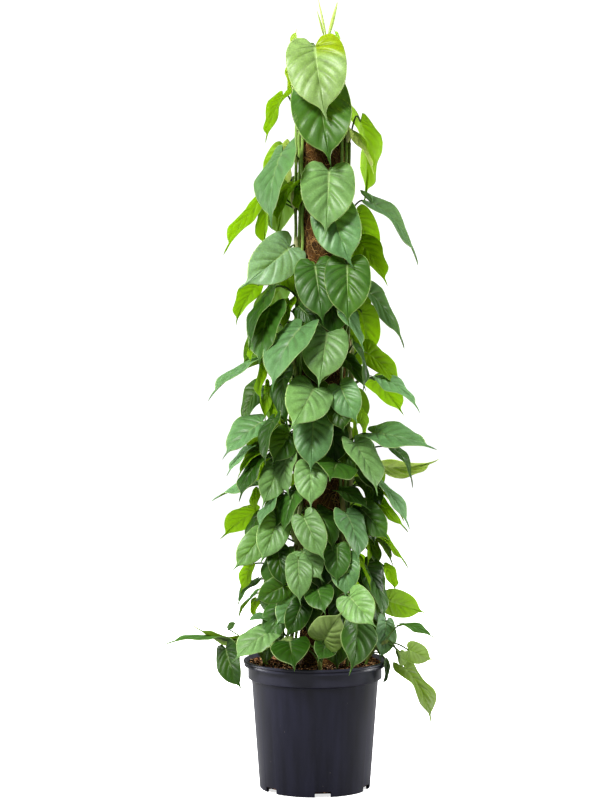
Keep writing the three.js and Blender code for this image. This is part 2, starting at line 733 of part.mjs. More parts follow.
function growOnVine(leaf) {
  const vine = vineFor(leaf);
  grow(leaf, vine, nodeOn(vine, leaf));
}

for (const row of LEAVES) growOnVine(seenLeaf(row, draws(seed++)));
for (const [count, make] of [[COVERS, coverLeaf], [GROWN, grownLeaf]]) {
  for (let i = 0; i < count; i++) {
    const leaf = make(i, draws(seed++));
    if (leaf) growOnVine(leaf);
  }
}

add("pot", still.pot, potBlack);
add("soil", still.soil, peatBrown);
add("pole_tube", still.pole_tube, tubeGrey);
add("coir_jacket", still.coir_jacket, coirBrown);
for (const stem of stems) add(stem.name, fused(stem.pieces), leafGreen);

export default plant;
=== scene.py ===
import itertools
import random
from functools import partial
from math import atan2, cos, degrees, exp, hypot, pi, radians, sin, sqrt
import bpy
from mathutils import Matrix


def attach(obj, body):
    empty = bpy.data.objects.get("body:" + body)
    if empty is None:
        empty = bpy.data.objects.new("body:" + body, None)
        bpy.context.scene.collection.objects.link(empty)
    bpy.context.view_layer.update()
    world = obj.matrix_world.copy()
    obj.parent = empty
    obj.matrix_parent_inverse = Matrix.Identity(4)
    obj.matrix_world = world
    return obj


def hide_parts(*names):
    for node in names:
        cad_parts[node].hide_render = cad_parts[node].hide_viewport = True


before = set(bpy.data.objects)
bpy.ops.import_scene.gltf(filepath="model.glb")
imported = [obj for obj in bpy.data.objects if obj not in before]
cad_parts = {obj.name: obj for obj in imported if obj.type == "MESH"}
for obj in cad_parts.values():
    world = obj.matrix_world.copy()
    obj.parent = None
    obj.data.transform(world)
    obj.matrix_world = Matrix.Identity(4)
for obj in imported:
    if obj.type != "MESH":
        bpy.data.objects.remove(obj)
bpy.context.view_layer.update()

from types import SimpleNamespace

import bpy
from mathutils import Matrix, Vector, noise
from mathutils.kdtree import KDTree

# Camera: a long lens 4.3 m in front of the plant, a little above its middle.
# It looks slightly down, so that the pot's lip shows as a narrow ellipse.
CAMERA_PLACE = Vector((-0.025, -4.3, 0.89))
CAMERA_AIM = Vector((-0.025, 0, 0.649))


def placed(name, data):
    made = bpy.data.objects.new(name, data)
    bpy.context.scene.collection.objects.link(made)
    return made


def aim(thing, place, at):
    thing.location = place
    thing.rotation_euler = (at - place).to_track_quat("-Z", "Y").to_euler()


camera = placed("camera", bpy.data.cameras.new("camera"))
bpy.context.scene.camera = camera
camera.data.lens = 116.5
camera.data.sensor_width = 36
aim(camera, CAMERA_PLACE, CAMERA_AIM)


# Studio: a white paper sweep under the pot, in a white room with a large soft box at the upper left.
# Two more boxes behind the plant shine through its side leaves, as bright white paper does.
PAPER_SIZE = 16
ROOM_LIGHT, ROOM_SEEN = 0.3, 1.05
LAMPS_AIM = Vector((0, 0, 0.7))
LAMPS = {
    "soft box": ((-1.2, -2.1, 2.8), (0.8, 0.8), 152),
    "right strip": ((2.3, 0.3, 0.6), (0.5, 1.2), 36),
    "left strip": ((-2.3, 0.3, 0.6), (0.5, 1.2), 30),
    "back left": ((-1.5, 1.6, 1.4), (2, 2), 95),
    "back right": ((1.5, 1.6, 1.4), (2, 2), 95),
}


def linear(colour):
    channels = [int(colour[i:i + 2], 16) / 255 for i in (1, 3, 5)]
    return [c / 12.92 if c < 0.04045 else ((c + 0.055) / 1.055) ** 2.4 for c in channels] + [1]


# How a Mix node mixes two colours
COLOURS = {"out": 2, "data_type": "RGBA"}


def add_node(material, kind, inputs=None, out=0, **settings):
    node = material.node_tree.nodes.new("ShaderNode" + kind)
    for name, value in settings.items():
        setattr(node, name, value)
    for socket, value in (inputs or {}).items():
        if isinstance(value, bpy.types.NodeSocket):
            material.node_tree.links.new(value, node.inputs[socket])
        else:
            node.inputs[socket].default_value = linear(value) if isinstance(value, str) else value
    return node.outputs[out] if node.outputs else node


def bare(name):
    material = bpy.data.materials.new(name)
    material.use_nodes = True
    material.node_tree.nodes.clear()
    return material, partial(add_node, material)


# Matt paper, which shows white to the eye and throws back a little less light than that on the pot
paper, add = bare("white paper")
direct = add("LightPath", out="Is Camera Ray")
sheet = add("Mix", {0: direct, 6: "#8c8c8c", 7: "#f6f6f6"}, **COLOURS)
glow = add("Math", {0: direct, 1: 0.6}, operation="MULTIPLY")
shader = add(
    "BsdfPrincipled",
    {"Base Color": sheet, "Roughness": 1, "Emission Color": (1, 1, 1, 1), "Emission Strength": glow},
)
add("OutputMaterial", {"Surface": shader})

bpy.ops.mesh.primitive_plane_add(size=PAPER_SIZE, location=(0, 0, -0.0005))
floor = bpy.context.object
floor.name = "floor"
floor.data.materials.append(paper)

world = bpy.data.worlds.new("white studio")
world.use_nodes = True
sky = world.node_tree.nodes["Background"]
sky.inputs["Color"].default_value = (1, 1, 1, 1)
direct = add_node(world, "LightPath", out="Is Camera Ray")
brightness = add_node(world, "MapRange", {0: direct, 3: ROOM_LIGHT, 4: ROOM_SEEN})
world.node_tree.links.new(brightness, sky.inputs["Strength"])
bpy.context.scene.world = world
bpy.context.scene.view_settings.view_transform = "Standard"
bpy.context.scene.view_settings.look = "Medium High Contrast"

for name, (place, size, power) in LAMPS.items():
    lamp = bpy.data.lights.new(name, "AREA")
    lamp.shape = "RECTANGLE"
    lamp.size, lamp.size_y = size
    lamp.energy = power
    holder = placed(name, lamp)
    holder.visible_glossy = "back" not in name
    aim(holder, Vector(place), LAMPS_AIM)


# Pot: one piece of injection-moulded polypropylene with a rolled lip, a stepped collar and drain notches.
# It is spun from its wall's outline, the notches are cut out and the edges are rounded as a mould leaves them.
POT_OUTLINE = [
    (0, 0), (0.022, 0), (0.022, 0.004), (0.0875, 0.004), (0.0875, 0), (0.091, 0), (0.0925, 0.0015),
    (0.106, 0.182), (0.112, 0.185), (0.112, 0.2058), (0.1184, 0.2058), (0.1184, 0.2098), (0.1174, 0.2102),
    (0.1174, 0.2112), (0.12, 0.2117), (0.12, 0.2138), (0.1188, 0.215), (0.115, 0.215), (0.1098, 0.206),
    (0.1098, 0.188), (0.1038, 0.185), (0.0903, 0.0062), (0, 0.0062),
]
POT_STEPS = 144
NOTCHES = 6
NOTCH_TURN = 8
NOTCH_RADIUS = 0.0925
NOTCH_SIZE = (0.027, 0.024, 0.018)
EDGE_ROUNDING = 0.0005

outline_mesh = bpy.data.meshes.new("pot_shell")
outline_edges = [(i, i + 1) for i in range(len(POT_OUTLINE) - 1)]
outline_mesh.from_pydata([(radius, 0, z) for radius, z in POT_OUTLINE], outline_edges, [])
pot = placed("pot_shell", outline_mesh)
bpy.ops.object.select_all(action="DESELECT")
bpy.context.view_layer.objects.active = pot
pot.select_set(True)
bpy.ops.object.mode_set(mode="EDIT")
bpy.ops.mesh.select_all(action="SELECT")
bpy.ops.mesh.spin(steps=POT_STEPS, angle=2 * pi, center=(0, 0, 0), axis=(0, 0, 1))
bpy.ops.mesh.select_all(action="SELECT")
bpy.ops.mesh.remove_doubles(threshold=0.00002)
bpy.ops.mesh.normals_make_consistent(inside=False)
bpy.ops.object.mode_set(mode="OBJECT")
for i in range(NOTCHES):
    turn = Matrix.Rotation(radians(NOTCH_TURN + 360 / NOTCHES * i), 4, "Z")
    bpy.ops.mesh.primitive_cube_add(size=1)
    cutter = bpy.context.object
    cutter.data.transform(turn @ Matrix.Translation((0, -NOTCH_RADIUS, 0)) @ Matrix.Diagonal((*NOTCH_SIZE, 1)))
    cut = pot.modifiers.new("notch", "BOOLEAN")
    cut.operation = "DIFFERENCE"
    cut.object = cutter
    bpy.context.view_layer.objects.active = pot
    bpy.ops.object.modifier_apply(modifier="notch")
    bpy.data.objects.remove(cutter)
rounding = pot.modifiers.new("rounding", "BEVEL")
rounding.width = EDGE_ROUNDING
rounding.segments = 2
rounding.limit_method = "ANGLE"
rounding.angle_limit = radians(28)
bpy.ops.object.modifier_apply(modifier="rounding")
pot.select_set(True)
bpy.ops.object.shade_smooth_by_angle(angle=radians(40))

# Moulded polypropylene, dyed black: a satin skin with upright streaks of dust about 17 mm wide, and dried
# specks of peat 1 mm across. Its grain is drawn 1.1 mm wide, coarser than the real 0.2 mm, so that it shows.
# The collar is painted greyer, as light falling on it from above, and the wall inside the lip is brown and dull
# from wet soil.
plastic, add = bare("moulded black polypropylene")
place = add("TexCoord", out="Object")
streak_place = add("Mapping", {0: place, "Scale": (1, 1, 0.08)})
streaks = add("TexNoise", {0: streak_place, "Scale": 60, "Detail": 4})
dust = add("MapRange", {0: streaks, 1: 0.35, 2: 0.75})
patches = add("TexNoise", {0: place, "Scale": 25})
dirty = add("MapRange", {0: patches, 1: 0.55, 2: 0.62})
specks = add("TexVoronoi", {0: place, "Scale": 90})
specks = add("MapRange", {0: specks, 1: 0.035, 2: 0.055, 3: dirty, 4: 0})
radial = add("VectorMath", {0: place, 1: (1, 1, 0)}, operation="MULTIPLY")
radial = add("VectorMath", {0: radial}, out="Value", operation="LENGTH")
height = add("SeparateXYZ", {0: place}, out="Z")
outer = add("MapRange", {0: radial, 1: 0.1102, 2: 0.1112})
below = add("MapRange", {0: height, 1: 0.186, 2: 0.19, 3: 1, 4: 0})
outside = add("Math", {0: outer, 1: below}, operation="MAXIMUM")
# Painted light: the collar is lightened where light from above falls on it.
collar_painted_light = add("MapRange", {0: height, 1: 0.182, 2: 0.188, 3: 0, 4: 0.6})
black = add("Mix", {0: dust, 6: "#121220", 7: "#232336"}, **COLOURS)
black = add("Mix", {0: collar_painted_light, 6: black, 7: "#32323f"}, **COLOURS)
black = add("Mix", {0: outside, 6: "#15120f", 7: black}, **COLOURS)
black = add("Mix", {0: specks, 6: black, 7: "#8a7f74"}, **COLOURS)
rough = add("MapRange", {0: streaks, 1: 0.3, 2: 0.8, 3: 0.31, 4: 0.44})
rough = add("Mix", {0: outside, 2: 0.9, 3: rough})
grain = add("TexNoise", {0: place, "Scale": 900, "Detail": 3})
skin = add("Bump", {"Height": grain, "Strength": 0.25, "Distance": 0.0003})
shader = add("BsdfPrincipled", {"Base Color": black, "Roughness": rough, "IOR": 1.49, "Normal": skin})
add("OutputMaterial", {"Surface": shader})
pot.data.materials.append(plastic)
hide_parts("pot")
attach(pot, "root")


# Potting soil: coarse peat with bark crumbs and coir bits, pressed in to just under the lip.
# It is a lumpy top over a plain plug, with loose crumbs lying on it.
SOIL_TOP = 0.2075
SOIL_RADIUS = 0.1094
SOIL_FOOT = [(0.0899, 0.0066), (0.1034, 0.185), (SOIL_RADIUS, 0.1884)]
SOIL_RINGS = 44
SOIL_TURNS = 128
CRUMBS = 2600
CRUMB_SIZE = (0.0012, 0.0042)
CRUMB_HIGHEST = 0.2155
POLE_X = 0.012
POLE_CLEAR = 0.0402
chance = random.Random(4)


def piece(name, verts, faces, materials, cad_node):
    mesh = bpy.data.meshes.new(name)
    mesh.from_pydata(verts, [], faces)
    for material in materials:
        mesh.materials.append(material)
    made = placed(name, mesh)
    mesh.polygons.foreach_set("use_smooth", [True] * len(mesh.polygons))
    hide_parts(cad_node)
    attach(made, "root")
    return made


def between(limits, share):
    return limits[0] + (limits[1] - limits[0]) * share


def quads(a, b, count):
    return [(a + j, a + (j + 1) % count, b + (j + 1) % count, b + j) for j in range(count)]


def soil_height(x, y):
    coarse = noise.noise(Vector((x, y, 0)) * 90) * 0.0028
    fine = noise.noise(Vector((x, y, 3)) * 320) * 0.0014
    banked = 0.0025 * (hypot(x, y) / SOIL_RADIUS) ** 4
    return SOIL_TOP + coarse + fine + banked


soil_verts, soil_faces = [(0, 0, SOIL_FOOT[0][1])], []
rings = SOIL_FOOT + [(SOIL_RADIUS * (1 - i / SOIL_RINGS), None) for i in range(SOIL_RINGS)]
for radius, z in rings:
    for j in range(SOIL_TURNS):
        x = radius * cos(2 * pi * j / SOIL_TURNS)
        y = radius * sin(2 * pi * j / SOIL_TURNS)
        soil_verts.append((x, y, soil_height(x, y) if z is None else z))
top_centre = len(soil_verts)
soil_verts.append((0, 0, soil_height(0, 0)))
starts = [1 + i * SOIL_TURNS for i in range(len(rings))]
for a, b in zip(starts, starts[1:]):
    soil_faces += quads(a, b, SOIL_TURNS)
for j in range(SOIL_TURNS):
    following = (j + 1) % SOIL_TURNS
    soil_faces += [(0, 1 + following, 1 + j), (starts[-1] + j, starts[-1] + following, top_centre)]

bpy.ops.mesh.primitive_ico_sphere_add(subdivisions=1, radius=1)
crumb = bpy.context.object
crumb_corners = [v.co.copy() for v in crumb.data.vertices]
crumb_faces = [tuple(p.vertices) for p in crumb.data.polygons]
bpy.data.objects.remove(crumb)
for _ in range(CRUMBS):
    turn = chance.uniform(0, 2 * pi)
    radius = SOIL_RADIUS * sqrt(chance.random()) * 0.985
    x, y = radius * cos(turn), radius * sin(turn)
    if hypot(x - POLE_X, y) < POLE_CLEAR:
        continue
    size = between(CRUMB_SIZE, chance.random() ** 2)
    stretch = Vector((1, chance.uniform(0.5, 0.9), chance.uniform(0.35, 0.7))) * size
    spin = Matrix.Rotation(chance.uniform(0, 6.3), 3, "Z") @ Matrix.Rotation(chance.uniform(-0.6, 0.6), 3, "X")
    z = min(soil_height(x, y) + 0.25 * size, CRUMB_HIGHEST - size)
    first = len(soil_verts)
    for corner in crumb_corners:
        broken = Vector(c * s for c, s in zip(corner, stretch)) * chance.uniform(0.75, 1.15)
        soil_verts.append(Vector((x, y, z)) + spin @ broken)
    soil_faces += [tuple(first + c for c in face) for face in crumb_faces]

# Damp peat with orange-brown bark, screened to crumbs of about 3 mm: no gloss, and each crumb has a colour
# of its own. Its fibres are drawn 2 mm wide, coarser than the real 0.5 mm, so that they show.
peat, add = bare("damp peat and bark")
place = add("TexCoord", out="Object")
cells = add("TexVoronoi", {0: place, "Scale": 320}, out="Color")
cell_share = add("SeparateColor", {0: cells})
cell_tints = add("ValToRGB", {0: cell_share})
tints = [(0, "#1c1108"), (0.4, "#2c1b0e"), (0.66, "#4a2f18"), (0.8, "#7a4c26"), (0.94, "#cda680")]
stops = cell_tints.node.color_ramp.elements
for at, colour in tints[1:-1]:
    stops.new(at)
for stop, (at, colour) in zip(stops, tints):
    stop.position = at
    stop.color = linear(colour)
fibres = add("TexNoise", {0: place, "Scale": 500, "Detail": 6})
skin = add("Bump", {"Height": fibres, "Strength": 0.7, "Distance": 0.001})
shader = add(
    "BsdfPrincipled",
    {"Base Color": cell_tints, "Roughness": 0.92, "Normal": skin, "Specular IOR Level": 0.25},
)
add("OutputMaterial", {"Surface": shader})
piece("potting_soil", soil_verts, soil_faces, [peat], "soil")


# Pole: a grey plastic pipe with matted coconut fibre wrapped round it and held by its own tangle.
# The mat is a lumpy sleeve, and loose fibres lie on it in all directions, most of them nearly level.
POLE_FOOT = 0.0066
POLE_TOP = 1.2
COIR_RADIUS = 0.0375
COIR_INNER = 0.0254
COIR_TURNS = 72
COIR_LEVELS = 300
FIBRES = 4600
FIBRE_RADIUS = 0.00048
FIBRE_LENGTH = (0.014, 0.05)
FIBRE_LOWEST = 0.2
FIBRE_STEPS = 5
# The sleeve's low tone value, which paints shade into the gaps under the loose fibres
SLEEVE_PAINTED_SHADE = 0.12


def coir_radius(turn, z):
    at = Vector((cos(turn), sin(turn), z * 9)) * 1.6
    level_strands = noise.noise(Vector((cos(turn) * 3, sin(turn) * 3, z * 260)))
    return COIR_RADIUS + 0.0017 * noise.noise(at * 3.5) + 0.0008 * level_strands


coir_verts, coir_faces = [], []
for i in range(COIR_LEVELS + 1):
    z = POLE_FOOT + (POLE_TOP - POLE_FOOT) * i / COIR_LEVELS
    for j in range(COIR_TURNS):
        turn = 2 * pi * j / COIR_TURNS
        radius = coir_radius(turn, z)
        coir_verts.append((POLE_X + radius * cos(turn), radius * sin(turn), z))
for z in (POLE_TOP, POLE_FOOT):
    for j in range(COIR_TURNS):
        turn = 2 * pi * j / COIR_TURNS
        coir_verts.append((POLE_X + COIR_INNER * cos(turn), COIR_INNER * sin(turn), z))
# The sleeve under the loose fibres takes the low value: painted shade in the gaps.
coir_tones_and_painted_shade = [SLEEVE_PAINTED_SHADE] * len(coir_verts)
loops = [i * COIR_TURNS for i in range(COIR_LEVELS + 3)] + [0]
for a, b in zip(loops, loops[1:]):
    coir_faces += quads(a, b, COIR_TURNS)
for i in range(FIBRES):
    z = chance.uniform(FIBRE_LOWEST, POLE_TOP - 0.004)
    turn = chance.uniform(0, 2 * pi)
    length = chance.uniform(*FIBRE_LENGTH)
    slope = chance.gauss(0, 0.27)
    bend = chance.gauss(0, 12)
    stand = chance.uniform(0, 0.0009)
    radius = FIBRE_RADIUS * chance.uniform(0.6, 1.3)
    first = len(coir_verts)
    for k in range(FIBRE_STEPS + 1):
        share = k / FIBRE_STEPS - 0.5
        along = turn + share * length * cos(slope) / COIR_RADIUS
        level = z + share * length * sin(slope) + bend * share * share * 0.01 * length / 0.03
        level = min(max(level, FIBRE_LOWEST), POLE_TOP + 0.001)
        out = coir_radius(along, level) + stand + 0.0006 * sin(9 * share + i)
        thin = radius * (0.35 if k in (0, FIBRE_STEPS) else 1)
        for side in range(3):
            angle = 2 * pi * side / 3
            ring = out + thin * cos(angle)
            place = (POLE_X + ring * cos(along), ring * sin(along), level + thin * sin(angle))
            coir_verts.append(place)
    for k in range(FIBRE_STEPS):
        a, b = first + 3 * k, first + 3 * k + 3
        coir_faces += [(a + s, b + s, b + (s + 1) % 3, a + (s + 1) % 3) for s in range(3)]
    coir_faces += [(first, first + 1, first + 2), tuple(first + 3 * FIBRE_STEPS + s for s in (2, 1, 0))]
    coir_tones_and_painted_shade += [chance.uniform(SLEEVE_PAINTED_SHADE, 1)] * (len(coir_verts) - first)

# Coconut fibre, combed and matted: reddish-brown matt strands, each of a tone of its own, with shade painted dark
# into the gaps between them, and patches of more bark dust, 25 mm across. The strands are drawn 0.8 mm thick,
# twice the real 0.4 mm, so that they show.
coir, add = bare("matted coconut fibre")
place = add("TexCoord", out="Object")
strand_place = add("Mapping", {0: place, "Scale": (1, 1, 5)})
strands = add("TexNoise", {0: strand_place, "Scale": 260, "Detail": 5})
# Each fibre's own tone, and the painted shade of the sleeve beneath the fibres
own_tone_and_painted_shade = add("Attribute", out="Fac", attribute_name="shade")
lightness = add("Math", {0: strands, 1: 0.5, 2: own_tone_and_painted_shade}, operation="MULTIPLY_ADD")
strand_tints = add("ValToRGB", {0: lightness})
tints = [(0.3, "#180e03"), (0.52, "#5e4014"), (0.85, "#9a7236"), (1, "#cfa768")]
stops = strand_tints.node.color_ramp.elements
for at, colour in tints[1:-1]:
    stops.new(at)
for stop, (at, colour) in zip(stops, tints):
    stop.position = at
    stop.color = linear(colour)
patches = add("TexNoise", {0: place, "Scale": 40, "Detail": 2})
dusty = add("MapRange", {0: patches, 1: 0.35, 2: 0.65, 3: 0, 4: 0.35})
brown = add("Mix", {0: dusty, 6: strand_tints, 7: "#7a5224"}, **COLOURS)
skin = add("Bump", {"Height": strands, "Strength": 0.8, "Distance": 0.001})
shader = add(
    "BsdfPrincipled",
    {"Base Color": brown, "Roughness": 0.85, "Normal": skin, "Sheen Weight": 0.15, "Specular IOR Level": 0.2},
)
add("OutputMaterial", {"Surface": shader})
mat = piece("coir_mat", coir_verts, coir_faces, [coir], "coir_jacket")
mat.data.attributes.new("shade", "FLOAT", "POINT").data.foreach_set("value", coir_tones_and_painted_shade)

# Extruded PVC pipe: a satin grey with faint lines along it from the die. The lines are drawn 1.4 mm wide,
# coarser than the real 0.3 mm, so that they show.
pipe, add = bare("extruded grey pvc")
place = add("TexCoord", out="Object")
line_place = add("Mapping", {0: place, "Scale": (1, 1, 0.02)})
lines = add("TexNoise", {0: line_place, "Scale": 700, "Detail": 2})
grey = add("Mix", {0: lines, 6: "#7f7f7b", 7: "#9a9a96"}, **COLOURS)
skin = add("Bump", {"Height": lines, "Strength": 0.15, "Distance": 0.0003})
shader = add("BsdfPrincipled", {"Base Color": grey, "Roughness": 0.45, "IOR": 1.53, "Normal": skin})
add("OutputMaterial", {"Surface": shader})
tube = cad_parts["pole_tube"]
tube.data.materials.clear()
tube.data.materials.append(pipe)


# Climbing stems: green jointed stems that stand in the soil, lean in to the pole and climb it.
# They are soft tissue 5 mm thick, swollen at every joint, where a leaf stalk leaves and short roots grip.
# The whole plant is laid out in millimetres, like the solids, and brought to metres as each mesh is made.
STEM_RADIUS = 2.6
CLIMB_RADIUS = 45
ROOT_RADIUS = 60
LEAN_START = 20
LEAN_IN = 130
WANDER = 2
WANDER_PITCH = 120
SOIL_LEVEL = 204
POLE_AT = 12

# Each stem's azimuth round the pole, counted from the front, the last azimuth whose leaves it bears, and its top
VINES = {
    "vine_1": (-77, -88, 1130),
    "vine_2": (-63, -50, 1205),
    "vine_3": (-49, -8, 1204),
    "vine_4": (44, 36, 1208),
    "vine_5": (62, 84, 1150),
    "vine_6": (100, 104, 1080),
    "vine_7": (145, 160, 1175),
    "vine_8": (190, 200, 1120),
    "vine_9": (238, 256, 1185),
}

# Points along the three sprigs that hang over the pot's lip
SPRIGS = {
    "sprig_front": [(8, -82, 150), (8, -82, 190), (8, -83, 212), (6, -88, 228)],
    "sprig_right": [(84, -28, 150), (84, -28, 190), (85, -28, 213), (101, -34, 240), (122, -38, 252)],
    "sprig_left": [(-80, -30, 150), (-80, -30, 190), (-81, -30, 213), (-101, -34, 240), (-124, -38, 254)],
}


def around_pole(azimuth, radius, z):
    angle = radians(azimuth)
    return Vector((POLE_AT + radius * sin(angle), -radius * cos(angle), z))


def stem_point(vine, z):
    share = min(max((z - SOIL_LEVEL - LEAN_START) / LEAN_IN, 0), 1)
    lean = share * share * (3 - 2 * share)
    azimuth = VINES[vine][0]
    turn = azimuth + lean * WANDER * sin(z / WANDER_PITCH + azimuth / 90)
    return around_pole(turn, between((ROOT_RADIUS, CLIMB_RADIUS), lean), z)


def sprig_point(sprig, share):
    points = [Vector(point) for point in SPRIGS[sprig]]
    along = (len(points) - 1) * share
    first = min(int(along), len(points) - 2)
    at = along - first
    near, far = points[first], points[first + 1]
    before = points[first - 1] if first else 2 * near - far
    after = points[first + 2] if first + 2 < len(points) else 2 * far - near
    gaps = [(b - a).length ** 0.5 for a, b in ((before, near), (near, far), (far, after))]
    leave = (near - before) / gaps[0] - (far - before) / (gaps[0] + gaps[1]) + (far - near) / gaps[1]
    arrive = (far - near) / gaps[1] - (after - near) / (gaps[1] + gaps[2]) + (after - far) / gaps[2]
    leave, arrive = leave * gaps[1], arrive * gaps[1]
    bend = 2 * near - 2 * far + leave + arrive
    ease = 3 * far - 3 * near - 2 * leave - arrive
    return near + leave * at + ease * at * at + bend * at ** 3


# The four plant materials, in their order on each mesh, and the vein map's value where there are no veins
FACE, UNDERSIDE, STEM, BACKLIT_FACE = range(4)
NO_VEINS = (0.5, 0)


def add_tube(shape, points, radii, sides, tint):
    verts, faces, slots, tints, maps = shape
    heading = (points[1] - points[0]).normalized()
    up = heading.orthogonal().normalized()
    first = len(verts)
    for i, point in enumerate(points):
        ahead = points[min(i + 1, len(points) - 1)] - points[max(i - 1, 0)]
        turn = heading.rotation_difference(ahead)
        up, heading = turn @ up, ahead.normalized()
        side = heading.cross(up)
        for j in range(sides):
            angle = 2 * pi * j / sides
            verts.append(point + (up * cos(angle) + side * sin(angle)) * radii[i])
    count = len(points)
    for i in range(count - 1):
        faces += quads(first + i * sides, first + (i + 1) * sides, sides)
    faces += [tuple(first + j for j in reversed(range(sides)))]
    faces += [tuple(first + (count - 1) * sides + j for j in range(sides))]
    slots += [STEM] * ((count - 1) * sides + 2)
    maps += [NO_VEINS] * (count * sides)
    for i in range(count):
        tints += [tint[i] if isinstance(tint[0], list) else tint] * sides


# Leaves: heart-shaped soft blades 10 to 15 cm long on thin arching stalks, glossy above and paler beneath.
# Each is one mesh from the same vein pattern, bent to the arch, fold and wave of its solid.
# First come the values by which a blade is read from its notch, tip and seen width.
EYE = Vector((-25, -4300, 890))
FULLEST = 0.385
LEAST_LEAN = 1.05
FACING = 0.72
FACES_BACK = 0.2
MIDDLE_DEPTH = 0.35
FURTHEST_OFF = 0.95
ARCH = (0.03, 0.1)
FOLD = (0.1, 0.32)
WAVE = (0.03, 0.08)

# How a leaf is pushed along until its outline, and a bend of its stalk, meet the corners of its solid
CAD_OUTLINE = [(0.09, -0.12), (0.25, -0.14), (0.38, 0.09), (0.38, 0.36), (0.25, 0.64), (0.05, 0.83)]
PUSH_STEP = 3
MOST_PUSHES = 30
MEETS = 0.3
LEAST_MET = 2
STALK_RING = (1.1, 1.5)
BENDS = [(14, 0), (24, 0), (6, 0), (14, 9), (14, -9), (24, 16), (24, -16)]

